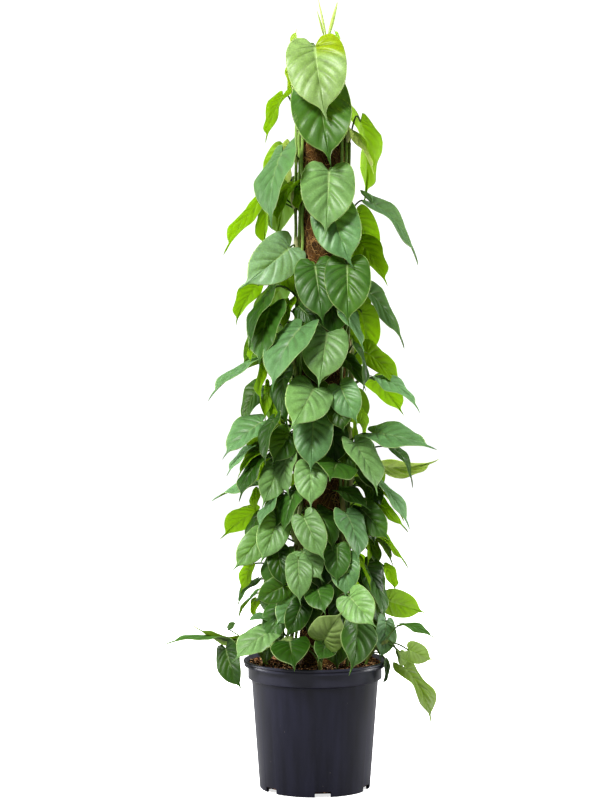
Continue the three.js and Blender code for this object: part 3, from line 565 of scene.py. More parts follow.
# Rows: notch x, z, tip x, z, seen width, depth in tenths of the shell (front is less), and the tone.
# A last value below 1 is a young leaf that is still rolled up, and says how slender it is.
LEAVES = [
    (90, 365, 118, 277, 33, -3, "M"), (115, 372, 135, 327, 20, 4, "Y"), (-30, 313, -68, 268, 50, -7, "G"),
    (-22, 307, -48, 247, 43, -8, "D"), (68, 285, 57, 187, 57, -10, "M"), (5, 332, 18, 287, 53, -9, "M"),
    (58, 320, 102, 267, 62, -10, "L"), (-52, 337, -105, 312, 43, -8, "M"), (122, 313, 188, 292, 45, 3, "Y"),
    (-75, 260, -137, 208, 45, -7, "L"), (-97, 312, -103, 283, 13, 2, "Y"), (-97, 348, -130, 300, 13, 0, "D"),
    (67, 388, 93, 330, 8, -3, "Y"), (50, 387, 52, 313, 52, -10, "G"), (37, 403, 37, 338, 47, -9, "M"),
    (-20, 395, 15, 343, 55, -8, "L"), (-28, 382, -25, 303, 47, -10, "L"), (-62, 397, -50, 330, 43, -8, "D"),
    (-105, 373, -123, 325, 20, 1, "Y"), (102, 423, 155, 368, 8, 1, "Y"), (88, 427, 130, 372, 13, 4, "D"),
    (80, 430, 87, 370, 12, -3, "Y"), (3, 465, 30, 392, 40, -7, "M"), (-18, 452, 17, 377, 52, -9, "L"),
    (-92, 458, -113, 403, 20, 0, "D"), (-88, 422, -138, 362, 47, -4, "L"), (-61, 450, -92, 372, 55, -9, "L"),
    (52, 458, 72, 375, 47, -9, "G"), (78, 467, 127, 412, 50, -5, "M"), (-32, 498, -52, 422, 33, -8, "M"),
    (-65, 485, -95, 430, 15, -4, "G"), (42, 497, 92, 463, 23, -6, "M"), (-95, 463, -157, 415, 40, 3, "Y"),
    (-95, 500, -98, 460, 17, 0, "Y"), (93, 482, 155, 428, 17, 1, "Y"), (103, 513, 158, 433, 20, -2, "G"),
    (-88, 507, -172, 480, 10, 1, "G"), (-7, 540, -7, 465, 57, -10, "L"), (-47, 555, -42, 485, 37, -8, "L"),
    (-60, 537, -90, 467, 50, -8, "L"), (37, 545, 22, 513, 75, -8, "M"), (47, 567, 70, 530, 30, -6, "D"),
    (65, 577, 105, 488, 47, -9, "L"), (102, 542, 207, 550, 27, 5, "P"), (130, 568, 162, 503, 10, 2, "D"),
    (80, 587, 92, 557, 10, -2, "D"), (97, 593, 202, 565, 38, 0, "G"), (-87, 612, -155, 550, 45, -4, "G"),
    (-82, 550, -107, 505, 27, 1, "Y"), (-88, 552, -125, 478, 30, -2, "D"), (-88, 563, -128, 518, 13, -1, "Y"),
    (-92, 573, -115, 535, 23, 3, "D"), (-108, 568, -147, 522, 13, 0, "G"), (-67, 617, -82, 538, 23, -5, "D"),
    (-42, 593, -73, 538, 52, -8, "M"), (-3, 618, -8, 523, 68, -9, "G"), (37, 643, 48, 592, 45, -8, "K"),
    (62, 628, 62, 575, 12, -5, "Y"), (75, 632, 77, 575, 13, 0, "Y"), (42, 672, 72, 607, 55, -9, "G"),
    (-2, 668, -43, 595, 80, -10, "L"), (-83, 712, -178, 647, 15, 0, "G"), (-95, 668, -125, 605, 28, 2, "M"),
    (-75, 670, -82, 610, 17, 2, "Y"), (-73, 658, -52, 600, 23, -2, "Y"), (-50, 692, -42, 598, 30, -7, "D"),
    (47, 718, 85, 663, 30, -7, "D"), (105, 685, 175, 627, 23, -1, "G"), (100, 682, 148, 622, 40, 4, "Y"),
    (85, 727, 145, 665, 33, 2, "Y"), (88, 828, 148, 733, 22, 1, "M"), (77, 795, 93, 710, 53, 6, "Y"),
    (70, 738, 78, 662, 13, -5, "D"), (42, 808, 82, 727, 23, -8, "G"), (-42, 813, -52, 763, 23, -4, "Y"),
    (-25, 803, 12, 770, 37, -6, "D"), (-78, 727, -88, 638, 15, 0, "Y"), (20, 760, 5, 667, 78, -10, "L"),
    (-22, 770, -72, 660, 58, -9, "G"), (-98, 755, -107, 708, 13, 0, "Y"), (-74, 802, -93, 702, 55, -7, "M"),
    (-73, 830, -108, 730, 20, -5, "D"), (-95, 840, -132, 772, 30, 4, "Y"), (-53, 877, -28, 822, 30, -3, "Y"),
    (-42, 902, -127, 832, 75, -9, "W"), (72, 913, 120, 838, 40, -3, "Y"), (0, 872, 14, 770, 73, -9, "M"),
    (53, 875, 55, 770, 77, -10, "M"), (27, 963, 62, 865, 80, -8, "G"), (93, 975, 170, 873, 17, 1, "B"),
    (68, 955, 105, 872, 53, 6, "Y"), (62, 1092, 97, 1022, 13, -2, "P"), (75, 1110, 80, 975, 37, 3, "Y"),
    (23, 1028, 17, 917, 90, -9, "L"), (-25, 998, -27, 960, 17, -8, "Y"), (-38, 1005, -63, 937, 23, -4, "Y"),
    (-78, 980, -82, 897, 23, 3, "Y"), (-83, 983, -150, 890, 25, 0, "Y"), (-40, 1067, -42, 997, 23, 2, "P"),
    (-53, 1060, -70, 933, 48, -7, "B"), (-52, 1063, -88, 1003, 42, 5, "Y"), (-53, 1152, -82, 1075, 23, 0, "Y"),
    (5, 1163, 25, 1035, 98, -9, "M"), (-38, 1203, -37, 1150, 13, 5, "P"), (-1, 1233, 18, 1107, 97, -10, "V"),
    (-32, 1230, -30, 1262, 13, 3, "P"), (37, 1240, 30, 1262, 8, 4, "Y"), (15, 1250, 3, 1293, 5, -1, "P", 0.15),
    (22, 1250, 37, 1307, 8, 1, "P", 0.15), (18, 1250, 5, 1312, 5, 1, "P", 0.12),
]
SPRIG_ROWS = {
    "sprig_front": [
        (22, 243, 3, 210, 43, -8, "M"), (15, 247, 47, 298, 58, -10, "U"),
        (-28, 240, -83, 232, 20, -9, "U"), (-42, 243, -33, 193, 70, -9, "D"),
    ],
    "sprig_right": [
        (118, 213, 110, 168, 10, -3, "D"), (118, 278, 108, 210, 37, -6, "G"),
        (142, 227, 145, 197, 17, -4, "U"), (157, 230, 200, 212, 37, -5, "U"),
        (145, 272, 203, 247, 13, -2, "M"), (150, 198, 195, 103, 35, -5, "O"),
    ],
    "sprig_left": [
        (-125, 242, -145, 233, 8, -4, "D"), (-145, 267, -130, 277, 10, 0, "D"),
        (-148, 233, -120, 160, 43, -6, "D"), (-155, 248, -253, 238, 8, 0, "M"),
        (-128, 250, -205, 273, 13, 2, "U"), (-72, 282, -117, 277, 13, -6, "G"),
    ],
}

# Leaves that the photo doesn't show, grown by rule round the back and the sides of the pole
GROWN = 112
GROWN_TOP = 1150
GROWN_FOOT = 225
GOLDEN_TURN = 137.508
GROWN_SPREAD = 14
GROWN_RADIUS = (0.8, 1.1)
GROWN_LENGTH = (64, 114)
GROWN_SIZE = (0.85, 1.15)
GROWN_DROOP = (18, 48)
GROWN_SWING = 0.7
GROWN_TURN = 0.8
GROWN_LIFT = 0.3
GROWN_PUSHES = 8
# Their tones cycle through the greens, among them the ones painted as lit, as in shade and as lit from behind
GROWN_TONES = "MGLDMGYM"
BARE_FRONT = 72
BARE_CROWN = 125
BARE_TOP = 930

# Leaves close to the pole, which hide it from the front except where it is seen bare
COVERS = 28
COVER_FOOT = 255
COVER_STEP = 22
COVER_AZIMUTHS = [-30, 16, -6, 36, -18]
COVER_SPREAD = 10
COVER_RADIUS = CLIMB_RADIUS + 8
COVER_OUT = 20
COVER_DROP = (66, 82)
COVER_HANGS = 45
COVER_PUSHES = 4
BARE_POLE = [(440, 520), (870, 1300)]

# Small leaves low at the sides, which close gaps between the others, in dark tones painted as the shade there
FILLS = 14
FILL_FOOT = 262
FILL_STEP = 23
FILL_AZIMUTHS = [-84, 74, -64, 92]
FILL_RADIUS = 0.8
FILL_OUT = 22
FILL_DROP = (56, 74)
FILL_SHADED_TONES = "DKMD"
FILL_FACES_FRONT = Vector((0, -0.7, 0))

# The shell round the pole that the notches lie on, at its top and foot
SHELL_RADII = (56, 100)
SHELL_FOOT = 200


def draws(seed):
    state = seed * 7919 + 11
    while True:
        state = state * 48271 % 2147483647
        yield state / 2147483647


def shell_radius(z):
    return between(SHELL_RADII, min(max((GROWN_TOP - z) / (GROWN_TOP - SHELL_FOOT), 0), 1))


def seen(x, z, y):
    share = 1 - y / EYE.y
    return Vector((EYE.x + (x - EYE.x) * share, y, EYE.z + (z - EYE.z) * share))


def shaped(luck, notch, tip, face, push, tone, steps, breadth=1, both_ways=False, rolled=False):
    axis = (tip - notch).normalized()
    face = (face - axis * face.dot(axis)).normalized()
    return SimpleNamespace(
        notch=notch, length=(tip - notch).length, axis=axis, face=face, across=axis.cross(face), push=push,
        arch=between(ARCH, next(luck)), fold=between(FOLD, next(luck)), wave=between(WAVE, next(luck)),
        phase=2 * pi * next(luck), tone=tone, steps=steps, breadth=breadth, both_ways=both_ways,
        rolled=rolled,
    )


def outward(azimuth):
    return around_pole(azimuth, 1, 0) - around_pole(azimuth, 0, 0)


def seen_leaf(row, luck):
    x, z, tip_x, tip_z, width, tenths, tone, breadth = (*row, 1)[:8]
    depth = tenths / 10
    radius = shell_radius(z)
    fullest = 2 * FULLEST * breadth
    off = min(abs(x - POLE_AT), FURTHEST_OFF * radius)
    y = depth * sqrt(radius * radius - off * off)
    across = hypot(tip_x - x, tip_z - z)
    length = max(LEAST_LEAN * across, width / fullest)
    lean = sqrt(length * length - across * across) * (1 if depth > 0 else -1)
    notch = seen(x, z, y)
    tip = seen(tip_x, tip_z, y + lean)
    axis = (tip - notch).normalized()
    to_eye = EYE - notch
    front = (to_eye - axis * to_eye.dot(axis)).normalized()
    side = axis.cross(front)
    if side.x * (x + tip_x - 2 * POLE_AT) < 0:
        side.negate()
    slim = min(1, width / (fullest * length))
    share = 1 if slim > FACING else slim
    face = front * (-share if depth > FACES_BACK else share) + side * sqrt(1 - share * share)
    push = (EYE - notch).normalized() * (-1 if depth > 0 else 1)
    both_ways, rolled = abs(depth) < MIDDLE_DEPTH, breadth < 1
    return shaped(luck, notch, tip, face, push, tone, MOST_PUSHES, breadth * slim / share, both_ways, rolled)


def cover_leaf(i, luck):
    z = COVER_FOOT + COVER_STEP * i
    if any(low < z and z - COVER_HANGS < high for low, high in BARE_POLE):
        return None
    azimuth = COVER_AZIMUTHS[i % len(COVER_AZIMUTHS)] + COVER_SPREAD * (next(luck) - 0.5)
    push, notch = outward(azimuth), around_pole(azimuth, COVER_RADIUS, z)
    tip = notch + push * COVER_OUT
    tip.z -= between(COVER_DROP, next(luck))
    # Cover leaves take the dark tone D, painted shade for leaves deep inside the plant.
    return shaped(luck, notch, tip, push, push, "D", COVER_PUSHES)


def fill_leaf(i, luck):
    z = FILL_FOOT + FILL_STEP * i
    azimuth = FILL_AZIMUTHS[i % len(FILL_AZIMUTHS)] + COVER_SPREAD * (next(luck) - 0.5)
    push, notch = outward(azimuth), around_pole(azimuth, shell_radius(z) * FILL_RADIUS, z)
    tip = notch + push * FILL_OUT + Vector((0, -FILL_OUT * (next(luck) - 0.2), 0))
    tip.z -= between(FILL_DROP, next(luck))
    return shaped(luck, notch, tip, push + FILL_FACES_FRONT, push, FILL_SHADED_TONES[i % len(FILL_SHADED_TONES)], 0)


def grown_leaf(i, luck):
    z = GROWN_TOP + (GROWN_FOOT - GROWN_TOP) * (i + next(luck)) / GROWN
    azimuth = (i * GOLDEN_TURN) % 360 - 180 + GROWN_SPREAD * (next(luck) - 0.5)
    if abs(azimuth) < (BARE_CROWN if z > BARE_TOP else BARE_FRONT):
        return None
    notch = around_pole(azimuth, shell_radius(z) * between(GROWN_RADIUS, next(luck)), z)
    push = outward(azimuth)
    side = Vector((-push.y, push.x, 0))
    droop = radians(between(GROWN_DROOP, next(luck)))
    up = (z - GROWN_FOOT) / (GROWN_TOP - GROWN_FOOT)
    length = between(GROWN_LENGTH, up) * between(GROWN_SIZE, next(luck))
    axis = push * sin(droop)
    axis.z = -cos(droop)
    axis = (axis + side * GROWN_SWING * (next(luck) - 0.5)).normalized()
    face = push + side * GROWN_TURN * (next(luck) - 0.5)
    face.z = GROWN_LIFT
    tone = GROWN_TONES[i % len(GROWN_TONES)]
    return shaped(luck, notch, notch + axis * length, face, push, tone, GROWN_PUSHES)


def blade_point(leaf, across, along, relief=0, off=0):
    """A point of the blade in space, from shares of its length, by the same sums as its solid."""
    side = abs(across)
    ripple = leaf.wave * sin(8 * along + leaf.phase + (1.7 if across > 0 else 0)) * side * side * 6
    lift = leaf.arch * 4 * along * (1 - along) + leaf.fold * side * (1 - 1.4 * side) + ripple + relief
    length = leaf.length
    point = leaf.notch + leaf.axis * (along * length)
    point += leaf.across * (across * leaf.breadth * length)
    return point + leaf.face * (lift * length + off)


def petiole_points(leaf, root, bend, steps):
    out = leaf.notch - root
    level = Vector((root.x - POLE_AT, root.y, 0)).normalized()
    first = root + out * 0.3 + level * (0.12 * out.length + 3)
    first.z += bend[0]
    first += leaf.across * bend[1]
    second = blade_point(leaf, 0, -0.16) - leaf.face * 2
    points = []
    for i in range(steps + 1):
        t = i / steps
        u = 1 - t
        near, far = root * u ** 3 + first * (3 * u * u * t), second * (3 * u * t * t)
        points.append(near + far + leaf.notch * t ** 3)
    return points


def vine_for(leaf):
    turn = degrees(atan2(leaf.notch.x - POLE_AT, -leaf.notch.y))
    if turn < VINES["vine_9"][1] - 360:
        turn += 360
    return next(name for name, (_, last, _) in VINES.items() if turn <= last)


def settle(leaf, corners, root):
    """Shifts the leaf to where its solid stands, and returns the bend of its stalk."""
    start = leaf.notch.copy()
    best, best_shift = LEAST_MET, None
    rim = [(side * across, along) for side in (1, -1) for across, along in CAD_OUTLINE]
    for step in range(leaf.steps):
        shift = step
        if leaf.both_ways:
            shift = (step + 1) / 2 if step % 2 else -step / 2
        leaf.notch = start + leaf.push * (shift * PUSH_STEP)
        met = sum(corners.find(blade_point(leaf, *at))[2] < MEETS for at in rim + [(0, 1)])
        if met > best:
            best, best_shift = met, shift
    if best_shift is None:
        return None
    leaf.notch = start + leaf.push * (best_shift * PUSH_STEP)
    for bend in BENDS:
        middle = petiole_points(leaf, root, bend, 2)[1]
        near = corners.find_range(middle, STALK_RING[1])
        if sum(distance > STALK_RING[0] for _, _, distance in near) >= 2:
            return bend
    return BENDS[0]


# The vein pattern that every blade is built on, as shares of its length: the margin of one half, and each
# vein's start on the midrib with its end, counted in margin points. Rows of faces run along the veins, and
# the tissue is raised by up to PUFF between them. Rows next to a vein are narrow, so that it lies in a crease.
MARGIN = [
    (0, 0), (0.035, -0.05), (0.09, -0.12), (0.17, -0.155), (0.25, -0.14), (0.335, -0.05), (0.378, 0.09),
    (0.389, 0.25), (0.378, 0.38), (0.342, 0.52), (0.27, 0.645), (0.16, 0.745), (0.066, 0.805), (0.03, 0.855),
    (0.017, 0.905), (0.009, 0.955), (0, 1),
]
VEINS = [(0, 2), (0, 4), (0, 5.7), (0.05, 7.4), (0.17, 8.9), (0.31, 10.1), (0.47, 11.4), (1, 16)]
VEIN_ROWS = [3, 4, 4, 5, 5, 5, 7]
VEIN_SWELLS = [0.25, 0.6, 0.8, 1, 1, 0.9, 0.7]
COLUMNS = [0, 0.05, 0.15, 0.28, 0.43, 0.6, 0.78, 0.95, 1]
PUFF = 0.03
CREASE = 0.17
HALF_THICKNESS = 0.36
THINNING = 0.55
VEIN_CREASE = {
    3: [0, -0.45, 0.45], 4: [0, -0.35, 0, 0.35], 5: [0, -0.2, -0.1, 0.1, 0.2], 7: [0, -0.1, 0, 0, 0, 0, 0.1],
}


def margin_point(at):
    i = min(int(at), len(MARGIN) - 2)
    t = at - i
    near = (MARGIN[min(max(k, 0), len(MARGIN) - 1)] for k in range(i - 1, i + 3))
    return [
        0.5 * (2 * b + (c - a) * t + (2 * a - 5 * b + 4 * c - d) * t * t + (3 * b - a - 3 * c + d) * t ** 3)
        for a, b, c, d in zip(*near)
    ]


half = []
for i, rows in enumerate(VEIN_ROWS):
    for row in range(rows + (i == len(VEIN_ROWS) - 1)):
        share = (row + VEIN_CREASE[rows][row % rows]) / rows if row < rows else 1
        origin = between((VEINS[i][0], VEINS[i + 1][0]), share)
        end = margin_point(between((VEINS[i][1], VEINS[i + 1][1]), share))
        swell = min(1, share / CREASE, (1 - share) / CREASE) * (0.85 + 0.15 * sin(pi * share))
        swell *= VEIN_SWELLS[i]
        weight = (0.72, 0.3) if i < 4 else (0.6, 0.42)
        if i == 0:
            weight = (0.45 + 0.27 * share, 0.5 - 0.2 * share)
        bow = (weight[0] * end[0], origin + weight[1] * (end[1] - origin))
        line = []
        for q in COLUMNS:
            a = 2 * q * (1 - q) * bow[0] + q * q * end[0]
            b = (1 - q) ** 2 * origin + 2 * q * (1 - q) * bow[1] + q * q * end[1]
            puff = PUFF * swell * max(sin(pi * q ** 0.6), 0) ** 0.8
            thick = HALF_THICKNESS * (1 - THINNING * q) if q < 1 and half else 0
            line.append((a, b, puff, thick, q, (i + share) / len(VEIN_ROWS)))
        half.append(line)

blade_verts, blade_faces, blade_sides, blade_index = [], [], [], {}
for level in (1, -1):
    for side in (1, -1):
        grid = []
        for line in half:
            ids = []
            for a, b, puff, thick, q, s in line:
                key = (round(a, 5) * side, round(b, 5), level if thick else 0)
                if key not in blade_index:
                    blade_index[key] = len(blade_verts)
                    blade_verts.append((a * side, b, puff, thick * level, 0.5 + 0.5 * side * q, s))
                ids.append(blade_index[key])
            grid.append(ids)
        for low, high in zip(grid, grid[1:]):
            for j in range(len(COLUMNS) - 1):
                corners = [low[j], low[j + 1], high[j + 1], high[j]]
                corners = [c for n, c in enumerate(corners) if c != corners[n - 1]]
                if len(set(corners)) > 2:
                    blade_faces.append(tuple(corners if side * level > 0 else reversed(corners)))
                    blade_sides.append(level)

# Greens, partly each leaf's own and partly painted light and shade: L light, M mid, D and K dark as in shade,
# G greyish, W whitish with a painted sheen, U for an underside, Y and P for thin leaves painted yellow-green as
# light shining through them from behind, and the others for single leaves. One lobe of the V leaf is painted
# yellow-green as lit from behind.
GREENS_AND_PAINTED_LIGHT = {
    "L": "#7ca164", "G": "#68905e", "M": "#42692a", "D": "#2a4e12", "Y": "#86ab08", "P": "#d3dd8c", "U": "#98ab6c",
    "W": "#7d9b78", "B": "#577b4b", "V": "#87a066", "K": "#234606", "O": "#6b8526",
}
PAINTED_LOBE_GLOW = linear("#8c9f14")


def blend(one, other, share):
    return [a + (b - a) * share for a, b in zip(one, other)]


def add_blade(shape, leaf, luck):
    verts, faces, slots, tints, maps = shape
    first = len(verts)
    sway = 0.05 * (next(luck) - 0.5)
    uneven = 0.05 * (next(luck) - 0.5)
    curl = 0.05 * (next(luck) - 0.4)
    ruffle = 0.004 + 0.004 * next(luck)
    beat = 22 + 10 * next(luck)
    hook = 1.8 * (next(luck) - 0.5)
    lightness = 0.88 + 0.24 * next(luck)
    # The leaf's tone, which paints in part the light or shade that falls on it
    tint = [c * lightness for c in linear(GREENS_AND_PAINTED_LIGHT[leaf.tone])[:3]] + [1]
    for a, b, puff, thick, u, s in blade_verts:
        edge = (2 * abs(u - 0.5)) ** 3
        across = a * (1 + uneven * (1 if a > 0 else -1)) + sway * max(b, 0) * (1 - b) + hook * max(b - 0.8, 0) ** 2
        relief = (puff + curl * max(b - 0.6, 0) ** 2 * (1 - b) * 6) * min(1, 1.6 * leaf.breadth)
        relief += ruffle * edge * sin(beat * b + leaf.phase * 3 + (2 if a > 0 else 0)) * (1 - b)
        verts.append(blade_point(leaf, across, b, relief, thick))
        maps.append((u, s))
        # Painted light: the V leaf's one lobe is coloured yellow-green towards the notch, as light shining through
        # it from behind.
        painted_glow = min(max((0.16 - b - 0.3 * a) / 0.13, 0), 1) if leaf.tone == "V" and a < 0 else 0
        tints.append(blend(tint, PAINTED_LOBE_GLOW, painted_glow))
    faces += [tuple(first + c for c in face) for face in blade_faces]
    upper, lower = (UNDERSIDE, FACE) if leaf.tone == "U" else (FACE, UNDERSIDE)
    # Leaves painted as lit from behind get the copy of the face made for them.
    if leaf.tone in "YP":
        upper = BACKLIT_FACE
    slots += [upper if side > 0 else lower for side in blade_sides]


# Living leaf: a waxy skin over tissue that lets yellow-green light through. Its midrib, margin and side veins
# are paler, and the tissue is sunk beside the veins, with shade painted darker into these creases. It has mottles
# of 11 mm. Its stipple is drawn 2.4 mm wide, coarser than the real 0.5 mm, so that it shows.
def leaf_tissue(name, rough, gloss, pale, light, yellow):
    tissue, add = bare(name)
    place = add("TexCoord", out="Object")
    tone = add("Attribute", attribute_name="tone")
    vein_map = add("UVMap", uv_map="veins")
    u, s = (add("SeparateXYZ", {0: vein_map}, out=axis) for axis in "XY")
    from_rib = add("Math", {0: u, 1: 0.5}, operation="SUBTRACT")
    from_rib = add("Math", {0: from_rib}, operation="ABSOLUTE")
    fade = add("MapRange", {0: s, 1: 0.8, 2: 0.96, 3: 1, 4: 0})
    rib = add("MapRange", {0: from_rib, 1: 0.006, 2: 0.026, 3: fade, 4: 0})
    bands = add("Math", {0: s, 1: len(VEIN_ROWS)}, operation="MULTIPLY")
    from_vein = add("Math", {0: bands, 1: 0.5}, operation="PINGPONG")
    whole = add("MapRange", {0: s, 1: 0.06, 2: 0.1, 4: fade})
    line = add("MapRange", {0: from_vein, 1: 0.02, 2: 0.085, 3: whole, 4: 0})
    line = add("MapRange", {0: from_rib, 1: 0.15, 2: 0.45, 3: line, 4: 0})
    line = add("Math", {0: line, 1: 0.25}, operation="MULTIPLY")
    veins = add("Math", {0: rib, 1: line}, operation="MAXIMUM")
    veins = add("Math", {0: veins, 1: 0.4}, operation="MULTIPLY")
    groove = {0: from_vein, 1: 0.01, 2: 0.17, 3: whole, 4: 0}
    groove = add("MapRange", groove, interpolation_type="SMOOTHSTEP")
    groove = add("MapRange", {0: from_rib, 1: 0.14, 2: 0.4, 3: groove, 4: 0})
    edge = add("MapRange", {0: from_rib, 1: 0.476, 2: 0.488, 3: 0, 4: 0.6})
    mottle = add("TexNoise", {0: place, "Scale": 90, "Detail": 4})
    value = add("MapRange", {0: mottle, 1: 0.3, 2: 0.7, 3: 0.82, 4: 1.14})
    stipple = add("TexNoise", {0: place, "Scale": 420, "Detail": 3})
    speck = add("MapRange", {0: stipple, 1: 0.35, 2: 0.65, 3: 0.86, 4: 1.12})
    value = add("Math", {0: value, 1: speck}, operation="MULTIPLY")
    # Painted shade: the tissue in the creases beside the veins is darkened.
    crease_painted_shade = add("MapRange", {0: groove, 3: 1, 4: 0.62})
    value = add("Math", {0: value, 1: crease_painted_shade}, operation="MULTIPLY")
    green = add("HueSaturation", {"Color": tone, "Value": value})
    for share, colour in ((pale, "#9db07a"), (veins, "#b4c98a"), (edge, "#c9dc96")):
        green = add("Mix", {0: share, 6: green, 7: colour}, **COLOURS)
    sunk = add("Math", {0: groove, 1: -0.15}, operation="MULTIPLY")
    sunk = add("Math", {0: rib, 1: -0.4, 2: sunk}, operation="MULTIPLY_ADD")
    height = add("Math", {0: stipple, 1: 0.2, 2: sunk}, operation="MULTIPLY_ADD")
    skin = add("Bump", {"Height": height, "Strength": 0.7, "Distance": 0.0011})
    waxy = {"Base Color": green, "Roughness": rough, "IOR": 1.45, "Normal": skin, "Specular IOR Level": gloss}
    waxy = add("BsdfPrincipled", waxy)
    lit = add("Mix", {0: yellow, 6: green, 7: "#c2dd00"}, **COLOURS)
    through = add("BsdfTranslucent", {"Color": lit})
    shader = add("MixShader", {0: light, 1: waxy, 2: through})
    add("OutputMaterial", {"Surface": shader})
    return tissue


# The face is glossy enough to show the soft box as a broad sheen. The underside is matt and paler.
# A leaf that light shines through from behind gets a copy of the face that lets more light through and shines
# less; its yellow-green glow is painted in its tone.
leaf_face = leaf_tissue("waxy leaf face", 0.4, 0.42, 0, 0.32, 0.6)
leaf_underside = leaf_tissue("matt leaf underside", 0.6, 0.2, 0.35, 0.5, 0.7)
backlit_face = leaf_tissue("leaf face lit from behind", 0.55, 0.2, 0, 0.65, 0.75)

# Stems and stalks: smooth green tissue with a satin shine, in blotches of about 6 mm
green_stem, add = bare("green stem tissue")
place = add("TexCoord", out="Object")
tone = add("Attribute", attribute_name="tone")
blotch = add("TexNoise", {0: place, "Scale": 160, "Detail": 4})
value = add("MapRange", {0: blotch, 1: 0.3, 2: 0.7, 3: 0.82, 4: 1.14})
green = add("HueSaturation", {"Color": tone, "Value": value})
skin = add("Bump", {"Height": blotch, "Strength": 0.3, "Distance": 0.0006})
shader = add("BsdfPrincipled", {"Base Color": green, "Roughness": 0.42, "IOR": 1.45, "Normal": skin})
add("OutputMaterial", {"Surface": shader})

# Stalks, 3 mm thick and swollen where they leave the stem, and the leaves at the top that are still rolled
STALK_GREEN = linear("#48611f")
STALK_RADIUS = 1.5
STALK_STEPS = 11
STALK_SIDES = 6
SPEAR_GREENS = (linear("#93a844"), linear("#a9bf6c"))
SPEAR_STEPS = 12
SPEAR_SIDES = 10
SPEAR_TIP = 0.15
SWAY = 4.5
SWAY_PITCH = 60
NODE_BELOW = 14
SPRIG_LEAVES = (0.62, 0.98)
plants = {name: ([], [], [], [], []) for name in [*VINES, *SPRIGS]}
joints = {name: [] for name in plants}
corners = {}
for name in plants:
    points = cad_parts[name].data.vertices
    corners[name] = KDTree(len(points))
    for i, vertex in enumerate(points):
        corners[name].insert(vertex.co * 1000, i)
    corners[name].balance()


def swayed(name, point):
    if name in SPRIGS:
        return point
    at = Vector((point.z / SWAY_PITCH, VINES[name][0] * 0.37, 0))
    loose = min(max((point.z - SOIL_LEVEL - 10) / 60, 0), 1) * SWAY
    return point + Vector((noise.noise(at), noise.noise(at + Vector((0, 0, 7))), 0)) * loose


def grow(leaf, name, root, luck):
    bend = settle(leaf, corners[name], root) if leaf.steps else BENDS[0]
    if bend is None:
        return
    root = swayed(name, root)
    joints[name].append(root)
    slim = min(1, leaf.length * leaf.breadth / 60)
    radii = [STALK_RADIUS * (0.8 + 0.2 * slim)] * (STALK_STEPS + 1)
    radii[0] *= 1.45
    radii[1] *= 1.15
    stalk = petiole_points(leaf, root, bend, STALK_STEPS)
    add_tube(plants[name], stalk, radii, STALK_SIDES, STALK_GREEN)
    if not leaf.rolled:
        add_blade(plants[name], leaf, luck)
        return
    shares = [i / SPEAR_STEPS for i in range(SPEAR_STEPS + 1)]
    thick = leaf.length * leaf.breadth * 0.3
    radii = [thick * (0.25 + 0.75 * sin(pi * share ** 0.7)) for share in shares[:-1]] + [SPEAR_TIP]
    greens = [blend(*SPEAR_GREENS, share) for share in shares]
    add_tube(plants[name], [blade_point(leaf, 0, share) for share in shares], radii, SPEAR_SIDES, greens)


def grow_on_vine(leaf, luck):
    name = vine_for(leaf)
    height = min(VINES[name][2] - STEM_RADIUS, max(SOIL_LEVEL + NODE_BELOW, leaf.notch.z - NODE_BELOW))
    grow(leaf, name, stem_point(name, height), luck)


lucks = map(draws, itertools.count(1))
for name, rows in SPRIG_ROWS.items():
    for i, row in enumerate(rows):
        luck = next(lucks)
        grow(seen_leaf(row, luck), name, sprig_point(name, between(SPRIG_LEAVES, i / (len(rows) - 1))), luck)
for row in LEAVES:
    luck = next(lucks)
    grow_on_vine(seen_leaf(row, luck), luck)
for count, make in ((COVERS, cover_leaf), (GROWN, grown_leaf), (FILLS, fill_leaf)):
    for i in range(count):
        luck = next(lucks)
        leaf = make(i, luck)
        if leaf:
            grow_on_vine(leaf, luck)


# Stems, sheaths and roots: each stem is a round tube with a swollen brownish joint under every leaf.
# Dry papery sheaths of young leaves stay on some joints, and brown roots, 1.7 mm thick, run from the joints
# to the coir and taper along it. All are drawn into the mesh of their own stem.
ROOT_DEPTH = 55
STEM_SIDES = 10
STEM_STEP = 6
SPRIG_STEPS = 24
STEM_GREENS = (linear("#8fa957"), linear("#66833a"))
JOINT_BROWN = linear("#5d5a2c")
JOINT_REACH = 4.5
JOINT_SWELL = 0.3
BARE_FOOT = 60
SHEATH_PALES = [linear("#b9bf86"), linear("#c9c795"), linear("#8f8a55")]
SHEATH_SHARE = 0.4
SHEATH_LENGTH = (24, 46)
SHEATH_LEAN = 2
SHEATH_STEPS = 7
SHEATH_SIDES = 8
ROOTS_AT_JOINT = (0, 1, 1, 2)
ROOT_BROWNS = (linear("#8a8a52"), linear("#6b4f30"))
ROOT_SWING = (10, 34)
ROOT_DROP = (4, 30)
ROOT_GRIP = 38.6
ROOT_RADII = [0.85, 0.8, 0.7, 0.6, 0.5, 0.3]
ROOT_SIDES = 5
wild = random.Random(11)

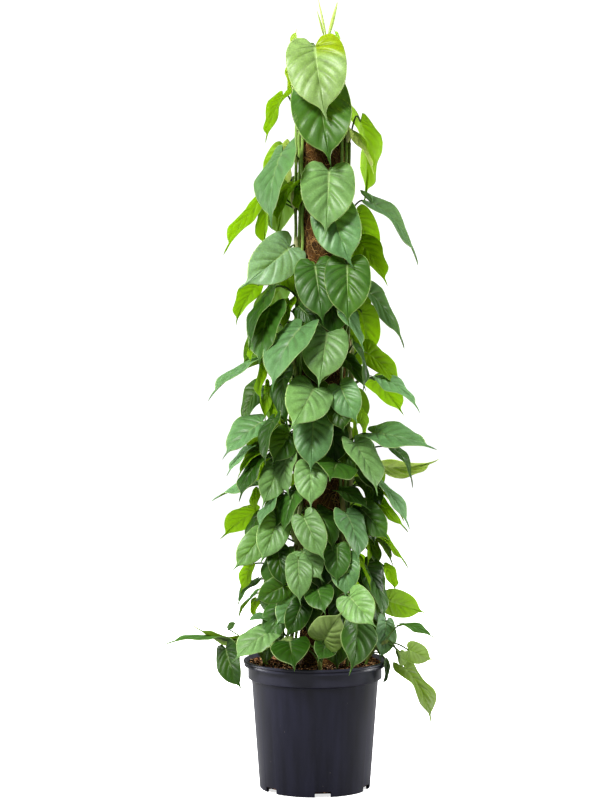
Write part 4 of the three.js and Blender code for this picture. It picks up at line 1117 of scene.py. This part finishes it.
for name, shape in plants.items():
    if name in VINES:
        foot, top = SOIL_LEVEL - ROOT_DEPTH, VINES[name][2]
        steps = round((top - foot) / STEM_STEP)
        heights = [between((foot, top), i / steps) for i in range(steps + 1)]
        points = [swayed(name, stem_point(name, z)) for z in heights]
    else:
        points = [sprig_point(name, i / SPRIG_STEPS) for i in range(SPRIG_STEPS + 1)]
    radii, tints = [], []
    for point in points:
        nearest = min([(point - joint).length for joint in joints[name]] + [99])
        at_joint = exp(-(nearest / JOINT_REACH) ** 2)
        age = 0.5 + 0.5 * noise.noise(point / 55)
        radii.append(STEM_RADIUS * (1 + JOINT_SWELL * at_joint))
        tints.append(blend(blend(*STEM_GREENS, age), JOINT_BROWN, 0.7 * at_joint))
    radii[-1] *= 0.4
    add_tube(shape, points, radii, STEM_SIDES, tints)
    for joint in joints[name] if name in VINES else []:
        if joint.z < SOIL_LEVEL + BARE_FOOT:
            continue
        turn = degrees(atan2(joint.x - POLE_AT, -joint.y))
        if wild.random() < SHEATH_SHARE:
            length = wild.uniform(*SHEATH_LENGTH)
            lean = wild.uniform(-SHEATH_LEAN, SHEATH_LEAN)
            points, radii = [], []
            for i in range(SHEATH_STEPS + 1):
                t = i / SHEATH_STEPS
                out = CLIMB_RADIUS + 1.2 + 3.4 * sin(pi * t * 0.8)
                points.append(around_pole(turn + lean * t, out, joint.z + length * (t - 0.1)))
                radii.append(0.6 + 4.1 * sin(pi * min(t * 0.85 + 0.12, 1)) ** 0.8)
            add_tube(shape, points, radii, SHEATH_SIDES, wild.choice(SHEATH_PALES))
        for _ in range(wild.choice(ROOTS_AT_JOINT)):
            swing = wild.choice((-1, 1)) * wild.uniform(*ROOT_SWING)
            drop = wild.uniform(*ROOT_DROP)
            points = []
            for i in range(len(ROOT_RADII)):
                t = i / (len(ROOT_RADII) - 1)
                out = CLIMB_RADIUS - (CLIMB_RADIUS - ROOT_GRIP) * min(t * 1.7, 1)
                points.append(around_pole(turn + swing * t ** 0.8, out, joint.z - drop * t * t))
            add_tube(shape, points, ROOT_RADII, ROOT_SIDES, blend(*ROOT_BROWNS, wild.random()))

for name, (verts, faces, slots, tints, maps) in plants.items():
    skins = [leaf_face, leaf_underside, green_stem, backlit_face]
    mesh = piece(name + "_foliage", [v * 0.001 for v in verts], faces, skins, name).data
    mesh.polygons.foreach_set("material_index", slots)
    tone = mesh.color_attributes.new("tone", "FLOAT_COLOR", "POINT")
    tone.data.foreach_set("color", [c for tint in tints for c in tint])
    layer = mesh.uv_layers.new(name="veins")
    for loop in mesh.loops:
        layer.data[loop.index].uv = maps[loop.vertex_index]
